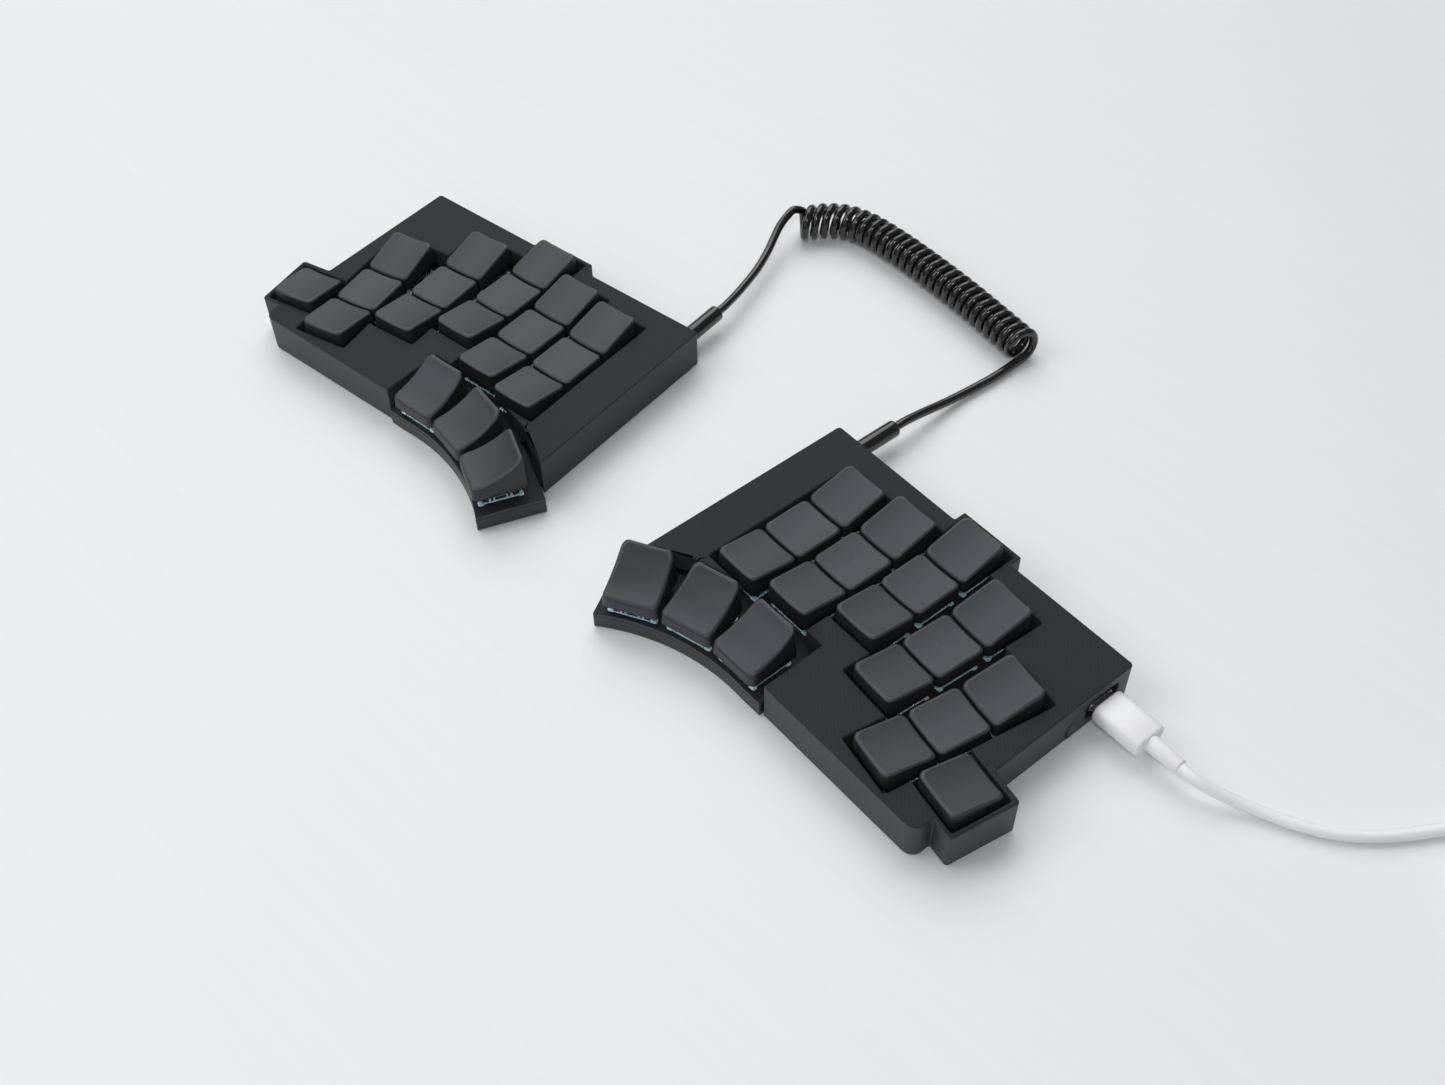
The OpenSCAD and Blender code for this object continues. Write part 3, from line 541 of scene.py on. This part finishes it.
def coil_path():
    """The tied coil of the host cable: inwards on the lower layer, outwards on the upper one."""
    path = []
    for k in range(COIL_TURNS * TURN_STEPS + 1):
        t = k / TURN_STEPS
        inward = min(t, COIL_TURNS - t)
        r = COIL_R + COIL_STEP * (COIL_TURNS / 4 - inward)
        angle = math.radians(COIL_ANGLE - 360 * t)
        climb = min(max((t - COIL_TURNS / 2) * 2 + 0.5, 0), 1)
        x = COIL_AT[0] + r * math.cos(angle)
        y = COIL_AT[1] + r * math.sin(angle)
        path.append(Vector((x, y, COIL_Z + COIL_STEP * climb)))
    start = path[0] - CABLE_D * (path[1] - path[0]).normalized()
    end = path[-1] + CABLE_D * (path[-1] - path[-2]).normalized()
    return [start] + path + [end]


COIL_WAY = Vector((math.sin(math.radians(COIL_ANGLE)), -math.cos(math.radians(COIL_ANGLE)), 0))


def host_end():
    """Where the host cable meets the plug at its far end, in millimetres."""
    return coil_path()[-1] + TAIL_L * COIL_WAY + Vector((0, 0, GRIP_H / 2 - COIL_Z - COIL_STEP))


def usb_way():
    """The direction out of the right half's host port."""
    x, y = turned((-1, 0), HALF_LEAN)
    return Vector((-x, y, 0))


def usb_route():
    """The host cable from the plug in the right half to the plug at its far end, in metres."""
    exit_at = placed(USB_MOUTH - GRIP_GAP - GRIP_L - SLEEVE_L, USB_Y, USB_Z, "right") / MM
    coil = coil_path()
    into = coil[0] - CABLE_D * (coil[1] - coil[0]).normalized()
    out = coil[-1] + CABLE_D * (coil[-1] - coil[-2]).normalized()
    end = host_end()
    run = through([exit_at, exit_at + STRAIGHT * usb_way(), *USB_ROUTE, into], LEAD_STEPS)
    tail = through([out, end - TAIL_BEND * COIL_WAY, end - STRAIGHT * COIL_WAY, end], LEAD_STEPS)
    return [p * MM for p in resample(run, HOST_SPACING) + coil + resample(tail, HOST_SPACING)]


def make_cables():
    link = link_route()
    mesh = tube("link_cable", link, LINK_D / 2 * MM, LINK_SIDES)
    piece = new_piece(
        "link_cable", mesh, GLOSS_BLACK, "halves", "link_cable", "link_leads", "link_curls",
    )
    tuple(link[0])
    lengths(link)[-1]
    host = usb_route()
    mesh = tube("host_cable", host, CABLE_D / 2 * MM, CABLE_SIDES)
    piece = new_piece(
        "host_cable", mesh, WHITE, "halves", "host_cable", "usb_cord", "usb_coil",
    )
    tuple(host[0])
    lengths(host)[-1]


# Plugs on the cables

ROUND_SIDES = 32
# Distances from an end with the inset there, or with the excess over the cable's radius
GRIP_ROUND = ((0.0, 0.6), (0.15, 0.25), (0.6, 0.0))
SLEEVE_END = ((0.3, 0.6), (0.1, 0.5), (0.0, 0.25))
SEAM, LIP_L, LIP_INSET = 0.1, 0.2, 0.12


def lofted(bm, rings, index=0):
    """A closed skin over rings of points, in one of the mesh's materials."""
    made = [[bm.verts.new(point) for point in ring] for ring in rings]
    count = len(rings[0])
    faces = []
    for a, b in zip(made, made[1:]):
        for k in range(count):
            n = (k + 1) % count
            faces.append(bm.faces.new((a[k], a[n], b[n], b[k])))
    faces.append(bm.faces.new(list(reversed(made[0]))))
    faces.append(bm.faces.new(made[-1]))
    for face in faces:
        face.material_index = index


def round_points(radius):
    """A circle as points, counter-clockwise."""
    turn = 2 * math.pi / ROUND_SIDES
    return [(radius * math.cos(k * turn), radius * math.sin(k * turn)) for k in range(ROUND_SIDES)]


def finished(name, bm, *materials):
    """A mesh from finished faces, turned outwards, in its materials."""
    bmesh.ops.recalc_face_normals(bm, faces=bm.faces)
    mesh = bpy.data.meshes.new(name)
    bm.to_mesh(mesh)
    bm.free()
    smooth_faces(mesh, CRISP_ANGLE)
    for material in materials:
        mesh.materials.append(material)
    return mesh


def host_plug_mesh(name, mouth, way):
    """A host plug along a direction from its mouth: steel shell, rounded grip and straight sleeve."""
    bm = bmesh.new()
    side = Vector((0, 0, 1)).cross(way)

    def section(s, outline):
        return [(mouth + s * way + x * side + Vector((0, 0, y))) * MM for x, y in outline]

    def grip(inset):
        return ring_points(GRIP_W / 2 - inset, GRIP_H / 2 - inset, GRIP_R - inset)

    def shell(inset):
        return ring_points(SHELL_W / 2 - inset, SHELL_H / 2 - inset, SHELL_R - inset)

    front, back = GRIP_GAP, GRIP_GAP + GRIP_L
    grip_ends = [(front + s, inset) for s, inset in GRIP_ROUND]
    grip_ends += [(back - s, inset) for s, inset in reversed(GRIP_ROUND)]
    lofted(bm, [section(s, grip(inset)) for s, inset in grip_ends])
    end = back + SLEEVE_L
    sleeve = [(back - SEAM, SLEEVE_D / 2)]
    sleeve += [(end - s, CABLE_D / 2 + over) for s, over in SLEEVE_END]
    lofted(bm, [section(s, round_points(r)) for s, r in sleeve])
    outside = [(front + SEAM, 0.0), (LIP_L - SHELL_IN, 0.0)]
    inside = [(-SHELL_IN, LIP_INSET), (-SHELL_IN, SHELL_T), (front, SHELL_T)]
    lofted(bm, [section(s, shell(inset)) for s, inset in outside + inside], 1)
    return finished(name, bm, WHITE, STEEL)


def link_plug_mesh():
    """Both link plugs: a glossy barrel with rounded ends, and the pin in its socket."""
    bm = bmesh.new()
    in_wall, pin_l, pin_r, barrel_r = 2.0, 9.0, 1.7, 2.7
    start = -LINK_GRIP - in_wall
    barrel = [(start, 2.2), (start + 0.4, barrel_r), (-1.0, barrel_r), (-0.5, 2.6), (-0.15, 2.35), (0.0, 1.9)]
    pin = [(start - pin_l, 0.7), (start - pin_l + 1.2, pin_r), (start + 0.1, pin_r)]
    for side in SIDES:
        way = link_way(side)
        across = Vector((0, 0, 1)).cross(way)
        for profile, index in ((barrel, 0), (pin, 1)):
            rings = []
            for s, r in profile:
                middle = link_end(side) + s * way
                rings.append([(middle + x * across + Vector((0, 0, y))) * MM for x, y in round_points(r)])
            lofted(bm, rings, index)
    return finished("link_plug_barrels", bm, GLOSS_BLACK, STEEL)


def make_plugs():
    new_piece("link_plug_barrels", link_plug_mesh(), GLOSS_BLACK, "halves", "link_cable", "link_plugs")
    mouth = placed(USB_MOUTH, USB_Y, USB_Z, "right") / MM
    mesh = host_plug_mesh("usb_plug_body", mouth, usb_way())
    new_piece("usb_plug_body", mesh, WHITE, "halves", "host_cable", "usb_plug")
    mouth = host_end() + (SLEEVE_L + GRIP_L + GRIP_GAP) * COIL_WAY
    mesh = host_plug_mesh("host_plug_body", mouth, -COIL_WAY)
    new_piece("host_plug_body", mesh, WHITE, "halves", "host_cable", "host_plug")
    mesh = softened("coil_tie", TIE_EDGE * MM)
    new_piece("coil_band", mesh, SATIN_BLACK, "halves", "link_cable", "coil_tie")


# Case, with the rounding of its edges in millimetres

CASE_EDGES = {"cover": 0.5, "tray": 0.3, "plate": 0.25}
TIE_EDGE = 0.25
SHARP_ANGLE, FLAT_ANGLE, EDGE_STEPS = 35.0, 0.5, 3
WELD = 2e-6


def softened(node, width):
    """A copy of a CAD node's mesh with its sharp edges rounded.

    Its flats are cut into triangles first, so that their holes stay open.
    """
    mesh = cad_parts[node].data.copy()
    mesh.name = node + "_soft"
    mesh.materials.clear()
    bm = bmesh.new()
    bm.from_mesh(mesh)
    bmesh.ops.remove_doubles(bm, verts=bm.verts, dist=WELD)
    bmesh.ops.dissolve_limit(bm, angle_limit=math.radians(FLAT_ANGLE), verts=bm.verts, edges=bm.edges)
    bmesh.ops.triangulate(bm, faces=bm.faces)
    bm.to_mesh(mesh)
    bm.free()
    smooth_faces(mesh)
    work = bpy.data.objects.new(mesh.name, mesh)
    bpy.context.scene.collection.objects.link(work)
    bevel = work.modifiers.new("edges", "BEVEL")
    bevel.width = width
    bevel.segments = EDGE_STEPS
    bevel.limit_method = "ANGLE"
    bevel.angle_limit = math.radians(SHARP_ANGLE)
    bevel.use_clamp_overlap = False
    bevel.loop_slide = False
    bevel.miter_outer = "MITER_ARC"
    flats = work.modifiers.new("flats", "WEIGHTED_NORMAL")
    flats.keep_sharp = True
    graph = bpy.context.evaluated_depsgraph_get()
    made = bpy.data.meshes.new_from_object(work.evaluated_get(graph))
    bpy.data.objects.remove(work)
    made.materials.clear()
    return made


def make_case():
    for side in SIDES:
        for part, width in CASE_EDGES.items():
            node = f"{side}_{part}"
            new_piece(node + "_print", softened(node, width * MM), CASE, "halves", "case", node)


# Keycaps

CORNER_STEPS, SIDE_STEPS, FILLET_STEPS = 6, 6, 5


def ring_points(half_x, half_y, radius):
    """A rounded rectangle as points, counter-clockwise."""
    points = []
    corners = ((1, 1, 0), (-1, 1, 90), (-1, -1, 180), (1, -1, 270))
    for n, (sx, sy, start) in enumerate(corners):
        cx, cy = sx * (half_x - radius), sy * (half_y - radius)
        for k in range(CORNER_STEPS + 1):
            angle = math.radians(start + 90 * k / CORNER_STEPS)
            points.append((cx + radius * math.cos(angle), cy + radius * math.sin(angle)))
        nx, ny, nstart = corners[(n + 1) % 4]
        ex = nx * (half_x - radius) + radius * math.cos(math.radians(nstart))
        ey = ny * (half_y - radius) + radius * math.sin(math.radians(nstart))
        sx0, sy0 = points[-1]
        for k in range(1, SIDE_STEPS):
            share = k / SIDE_STEPS
            points.append((sx0 + (ex - sx0) * share, sy0 + (ey - sy0) * share))
    return points


EDGE_FILLET = {"far": 0.8, "home": 0.8, "near": 0.8, "thumb": 1.0}
EDGE_FLATNESS = 0.5
TOP_CORNER, INNER_CORNER = 2.1, 1.0
STEM_W, STEM_D = 10.0, 4.4
# Rings up the walls and across the top, as shares of the way, and the rim drawn in below
RIM_SHARE = 0.988
WALL_SHARES = (0.02, 0.35, 0.7, 0.97, 1.0)
TOP_SHARES = (0.98, 0.88, 0.74, 0.58, 0.4, 0.22, 0.07)
FILLET_REACH = 0.6
# Rings of the edge rounding past this share are marked to carry the painted highlight along the cap's edges
HIGHLIGHT_FROM = 0.3
# A dimple in the middle of some home keys
DOTTED = ("index_home", "middle_home", "ring_home")
DOT_SHARE, DOT_DEEP = 0.04, 0.04


def keycap_mesh(profile, size, dotted):
    """A sculpted cap with a hollow top and narrow soft edges, open below, with its stem."""
    w, d = size
    rise = RISE[profile]
    lean = DRAFT_X[profile]
    high_far = CAP_TOP + max(rise, 0)
    high_near = CAP_TOP + max(-rise, 0)
    y_far = d / 2 - DRAFT_Y * (high_far - RIM_Z)
    y_near = -d / 2 + DRAFT_Y * (high_near - RIM_Z)
    slope = (high_far - high_near) / (y_far - y_near)
    half_top = w / 2 - lean * (CAP_TOP - RIM_Z)
    fillet = EDGE_FILLET[profile]
    chord = math.hypot(y_far - y_near, high_far - high_near)
    scoop_up = math.sqrt(SCOOP_R**2 - chord**2 / 4)
    scoop_y = (y_near + y_far) / 2 - scoop_up * (high_far - high_near) / chord
    scoop_z = (high_near + high_far) / 2 + scoop_up * (y_far - y_near) / chord

    def top_at(x, y):
        """Height of the sloped and hollowed top, or of a thumb cap's scoop."""
        hollow = max(half_top**2 - x**2, 0) / (2 * DISH_R)
        if profile == "thumb":
            return scoop_z - math.sqrt(SCOOP_R**2 - (y - scoop_y) ** 2) - hollow / 2
        return high_near + slope * (y - y_near) - hollow

    def wall_at(px, py, z):
        """A rim point moved in as the walls lean."""
        x = px * (1 - lean * (z - RIM_Z) / (w / 2))
        y = py * (1 - DRAFT_Y * (z - RIM_Z) / (d / 2))
        return x, y

    rim = ring_points(w / 2, d / 2, CAP_CORNER)
    rings = [[(px * RIM_SHARE, py * RIM_SHARE, RIM_Z) for px, py in rim]]
    for share in WALL_SHARES:
        ring = []
        corner = CAP_CORNER + share * (TOP_CORNER - CAP_CORNER)
        for px, py in ring_points(w / 2, d / 2, corner):
            z = RIM_Z + 1
            for _ in range(3):
                x, y = wall_at(px, py, z)
                z = RIM_Z + share * (top_at(x, y) - fillet - RIM_Z)
            ring.append((x, y, z))
        rings.append(ring)
    wall = rings[-1]
    painted_highlight = set()
    for k in range(1, FILLET_STEPS + 1):
        share = k / FILLET_STEPS
        angle = math.radians(90 * share)
        inset = fillet * (EDGE_FLATNESS * share + (1 - EDGE_FLATNESS) * (1 - math.cos(angle)))
        drop = fillet * (1 - EDGE_FLATNESS * share - (1 - EDGE_FLATNESS) * math.sin(angle))
        ring = []
        for x, y, _ in wall:
            nx = x * (1 - inset / (w / 2 - FILLET_REACH))
            ny = y * (1 - inset / (d / 2 - FILLET_REACH))
            ring.append((nx, ny, top_at(nx, ny) - drop))
        if share > HIGHLIGHT_FROM:
            painted_highlight.add(len(rings))
        rings.append(ring)
    last = rings[-1]

    def top_ring(share, deep=0.0):
        """The last ring drawn in on the top by a share, and sunk."""
        return [(x * share, y * share, top_at(x * share, y * share) - deep) for x, y, _ in last]

    rings += [top_ring(share) for share in TOP_SHARES]
    if dotted:
        rings.append(top_ring(DOT_SHARE, DOT_DEEP))
    inner = ring_points(w / 2 - CAP_WALL, d / 2 - CAP_WALL, INNER_CORNER)
    under = [[(x, y, RIM_Z) for x, y in inner], [(x, y, CEILING_Z) for x, y in inner]]
    mesh = bpy.data.meshes.new(f"cap_{profile}")
    bm = bmesh.new()
    # The edge mark on these vertices tells the cap material where to paint its highlight
    edge = bm.verts.layers.float.new("edge")
    made = [[bm.verts.new(Vector(p) * MM) for p in ring] for ring in rings]
    for number in painted_highlight:
        for vert in made[number]:
            vert[edge] = 1.0
    inside = [[bm.verts.new(Vector(p) * MM) for p in ring] for ring in under]
    count = len(rim)

    def strip(a, b):
        for k in range(count):
            n = (k + 1) % count
            bm.faces.new((a[k], a[n], b[n], b[k]))

    for a, b in zip(made, made[1:]):
        strip(a, b)
    bm.faces.new(made[-1])
    strip(inside[0], made[0])
    strip(inside[1], inside[0])
    bm.faces.new(list(reversed(inside[1])))
    stem = bmesh.ops.create_cube(bm, size=1.0)["verts"]
    for v in stem:
        v.co.x *= STEM_W * MM
        v.co.y *= STEM_D * MM
        v.co.z = (STEM_Z + (v.co.z + 0.5) * (CEILING_Z - STEM_Z)) * MM
    stem_faces = {f for v in stem for f in v.link_faces}
    for face in stem_faces:
        face.material_index = 1
    bm.to_mesh(mesh)
    bm.free()
    smooth_faces(mesh, CRISP_ANGLE)
    mesh.materials.append(CAP)
    mesh.materials.append(STEM)
    return mesh


def make_keys():
    for side in SIDES:
        for name, at, turn, profile, size in KEYS:
            mesh = keycap_mesh(profile, size, name in DOTTED)
            mesh.transform(half_matrix(side, at, turn))
            node = f"{side}_key_{name}"
            new_piece(node + "_cap", mesh, CAP, node, "keycap", node)


# Switches: one housing, repeated at every key

KIND_CLEAR, KIND_CORE, KIND_LEAF = 0, 1, 2
SWITCH_H, BODY_HALF = 2.8, 6.6
SKIRT, WALL_IN = 6.95, 6.4
FRAME_END, CLIP_END = 5.2, 2.1
FRAME_REACH, CLIP_REACH = 6.7, 6.85
HOUSING_ANGLE = 40
# Clear blocks at a corner, from below: inner edge, reach in X, reach in Y, bottom and top over the plate,
# lean and rounding
CORNER_BLOCKS = (
    (5.1, 7.45, 7.05, 0.0, 0.72, 0.15, 0.3),
    (5.1, 6.85, 6.85, 0.6, 2.0, 0.15, 0.5),
    (5.3, 6.8, 6.8, 1.9, SWITCH_H - 0.3, 0.2, 0.3),
)
# Upright bars on a side: distance from the middle, width and kind
SIDE_BARS = ((2.0, 0.5, KIND_CLEAR), (3.3, 0.7, KIND_CLEAR), (4.3, 0.4, KIND_LEAF))


def switch_mesh():
    """One low switch housing: clear corners, side frames and clips round a dark core with contact leaves."""
    mesh = bpy.data.meshes.new("switch_housing")
    bm = bmesh.new()
    kind = bm.faces.layers.int.new("kind")

    def block(x0, x1, y0, y1, z0, z1, which, lean=0.0, soft=0.12):
        """A box with softened edges, its top drawn in by the lean on every side."""
        verts = bmesh.ops.create_cube(bm, size=1.0)["verts"]
        for v in verts:
            upper = v.co.z > 0
            inset = lean if upper else 0.0
            x = x1 - inset if v.co.x > 0 else x0 + inset
            y = y1 - inset if v.co.y > 0 else y0 + inset
            v.co = Vector((x, y, z1 if upper else z0)) * MM
        edges = list({e for v in verts for e in v.link_edges})
        made = bmesh.ops.bevel(bm, geom=edges, offset=soft * MM, segments=2, affect="EDGES")
        for face in {f for v in made["verts"] for f in v.link_faces}:
            face[kind] = which

    top = PLATE_Z + SWITCH_H
    body = (-BODY_HALF, BODY_HALF, -BODY_HALF, BODY_HALF)
    block(*body, BOARD_Z, top - 0.3, KIND_CORE, 0.3)
    block(*body, top - 0.4, top, KIND_CLEAR, 0.25)
    for sx in (-1, 1):
        for sy in (-1, 1):
            for inner, reach_x, reach_y, low, high, lean, soft in CORNER_BLOCKS:
                x_span = sorted((sx * inner, sx * reach_x))
                y_span = sorted((sy * inner, sy * reach_y))
                block(*x_span, *y_span, PLATE_Z + low, PLATE_Z + high, KIND_CLEAR, lean, soft)
    for quarter in range(4):
        first = len(bm.verts)
        reach = CLIP_REACH if quarter % 2 else FRAME_REACH
        block(-SKIRT, SKIRT, WALL_IN, SKIRT, BOARD_Z, PLATE_Z, KIND_CORE)
        block(-FRAME_END, FRAME_END, WALL_IN, reach, PLATE_Z, PLATE_Z + 0.5, KIND_CLEAR)
        block(-CLIP_END, CLIP_END, WALL_IN, reach, PLATE_Z + 1.9, PLATE_Z + 2.3, KIND_CLEAR)
        for sign in (-1, 1):
            for at, width, which in SIDE_BARS:
                x0, x1 = sign * at - width / 2, sign * at + width / 2
                block(x0, x1, WALL_IN, reach - 0.05, PLATE_Z, PLATE_Z + 2.2, which)
        bm.verts.ensure_lookup_table()
        turn = Matrix.Rotation(quarter * math.pi / 2, 4, "Z")
        bmesh.ops.transform(bm, matrix=turn, verts=bm.verts[first:])
    bm.to_mesh(mesh)
    bm.free()
    return mesh


def repeated_at_keys():
    """A tree that puts a housing at every point, turned by the point's own angle, in three finishes."""
    tree = bpy.data.node_groups.new("housings_at_keys", "GeometryNodeTree")
    tree.interface.new_socket("Geometry", in_out="INPUT", socket_type="NodeSocketGeometry")
    housing = tree.interface.new_socket("Housing", in_out="INPUT", socket_type="NodeSocketObject")
    finishes = [
        tree.interface.new_socket(name, in_out="INPUT", socket_type="NodeSocketMaterial")
        for name in ("Clear", "Core", "Leaf")
    ]
    tree.interface.new_socket("Geometry", in_out="OUTPUT", socket_type="NodeSocketGeometry")

    def node(kind, **settings):
        made = tree.nodes.new(kind)
        for name, value in settings.items():
            setattr(made, name, value)
        return made

    start = node("NodeGroupInput")
    info = node("GeometryNodeObjectInfo", transform_space="ORIGINAL")
    angle = node("GeometryNodeInputNamedAttribute", data_type="FLOAT")
    angle.inputs["Name"].default_value = "turn"
    turn = node("ShaderNodeCombineXYZ")
    place = node("GeometryNodeInstanceOnPoints")
    real = node("GeometryNodeRealizeInstances")
    kind = node("GeometryNodeInputNamedAttribute", data_type="INT")
    kind.inputs["Name"].default_value = "kind"
    end = node("NodeGroupOutput")
    links = tree.links
    links.new(start.outputs["Housing"], info.inputs["Object"])
    links.new(angle.outputs["Attribute"], turn.inputs["Z"])
    links.new(start.outputs["Geometry"], place.inputs["Points"])
    links.new(info.outputs["Geometry"], place.inputs["Instance"])
    links.new(turn.outputs["Vector"], place.inputs["Rotation"])
    links.new(place.outputs["Instances"], real.inputs["Geometry"])
    shape = real.outputs["Geometry"]
    for which, finish in zip((KIND_CLEAR, KIND_CORE, KIND_LEAF), finishes):
        same = node("FunctionNodeCompare", data_type="INT", operation="EQUAL")
        paint = node("GeometryNodeSetMaterial")
        links.new(kind.outputs["Attribute"], same.inputs[2])
        same.inputs[3].default_value = which
        links.new(shape, paint.inputs["Geometry"])
        links.new(same.outputs["Result"], paint.inputs["Selection"])
        links.new(start.outputs[finish.name], paint.inputs["Material"])
        shape = paint.outputs["Geometry"]
    links.new(shape, end.inputs["Geometry"])
    return tree, housing.identifier, [finish.identifier for finish in finishes]


def make_switches():
    housing = bpy.data.objects.new("housing_source", switch_mesh())
    bpy.context.scene.collection.objects.link(housing)
    tree, housing_id, finish_ids = repeated_at_keys()
    for side in SIDES:
        points = bpy.data.meshes.new("key_points")
        points.from_pydata([placed(at[0], at[1], 0, side) for _, at, _, _, _ in KEYS], [], [])
        turns = points.attributes.new("turn", "FLOAT", "POINT")
        turns.data.foreach_set("value", [half_turn(side, turn) for _, _, turn, _, _ in KEYS])
        work = bpy.data.objects.new("switch_points", points)
        bpy.context.scene.collection.objects.link(work)
        modifier = work.modifiers.new("housings", "NODES")
        modifier.node_group = tree
        modifier[housing_id] = housing
        for finish_id, material in zip(finish_ids, (CLEAR, CORE, STEEL)):
            modifier[finish_id] = material
        graph = bpy.context.evaluated_depsgraph_get()
        made = bpy.data.meshes.new_from_object(work.evaluated_get(graph))
        bpy.data.objects.remove(work)
        smooth_faces(made, HOUSING_ANGLE)
        new_piece(f"{side}_switch_housings", made, CLEAR, "halves", "switch", f"{side}_switches")
    bpy.data.objects.remove(housing)


def finish_nodes():
    """Materials for the nodes that keep their own shape."""
    chosen = {
        "boards": BOARD, "controllers": BOARD, "usb_sockets": STEEL, "link_sockets": SATIN_BLACK,
        "left_screws": STEEL, "right_screws": STEEL,
    }
    for name, material in chosen.items():
        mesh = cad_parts[name].data
        mesh.materials.clear()
        mesh.materials.append(material)


# Desk and light, in metres

DESK_HALF, DESK_DROP = 4.0, 0.0002


def make_stage():
    """A white painted desk with a faint grain."""
    corners = [(x * DESK_HALF, y * DESK_HALF, 0) for x, y in ((-1, -1), (1, -1), (1, 1), (-1, 1))]
    mesh = bpy.data.meshes.new("desk")
    mesh.from_pydata(corners, [], [(0, 1, 2, 3)])
    desk = bpy.data.objects.new("desk", mesh)
    bpy.context.scene.collection.objects.link(desk)
    desk.location.z = -DESK_DROP
    finish = Finish("desk_pale", roughness=0.5)
    along = finish.node(
        "ShaderNodeMapping",
        values={"Vector": finish.place(), "Rotation": (0, 0, math.radians(-45)), "Scale": (6, 260, 1)},
    )
    grain = finish.noise(1.0, 4.0, 0.6, along)
    finish.set("Base Color", finish.blend(grain, (0.805, 0.811, 0.822, 1), (0.845, 0.85, 0.858, 1)))
    mesh.materials.append(finish.material)


def lamp(name, at, target, size, power):
    """A white area lamp that faces its target."""
    data = bpy.data.lights.new(name, "AREA")
    data.shape = "RECTANGLE"
    data.size, data.size_y = size
    data.energy = power
    obj = bpy.data.objects.new(name, data)
    obj.location = at
    obj.rotation_mode = "QUATERNION"
    obj.rotation_quaternion = (Vector(target) - Vector(at)).to_track_quat("-Z", "Y")
    bpy.context.scene.collection.objects.link(obj)


def make_light():
    world = bpy.data.worlds.new("world")
    bpy.context.scene.world = world
    world.use_nodes = True
    back = world.node_tree.nodes["Background"]
    back.inputs["Color"].default_value = (0.97, 0.985, 1.0, 1)
    back.inputs["Strength"].default_value = 0.18
    lamp("window", (-1.73, 1.44, 2.81), (-0.02, 0.0, 0), (3.6, 3.6), 90.0)
    lamp("fill", (-1.1, -1.0, 1.4), (0, 0, 0), (1.2, 1.2), 13.0)
    lamp("room", (0.4, -1.5, 0.6), (0, 0, 0), (1.2, 1.0), 2.0)
    lamp("ceiling", (0.6, -0.62, 1.15), (0.05, 0, 0), (0.3, 0.3), 3.8)


bpy.context.scene.view_settings.view_transform = "Standard"
set_camera()
make_plugs()
make_cables()
make_case()
make_keys()
make_switches()
finish_nodes()
make_stage()
make_light()
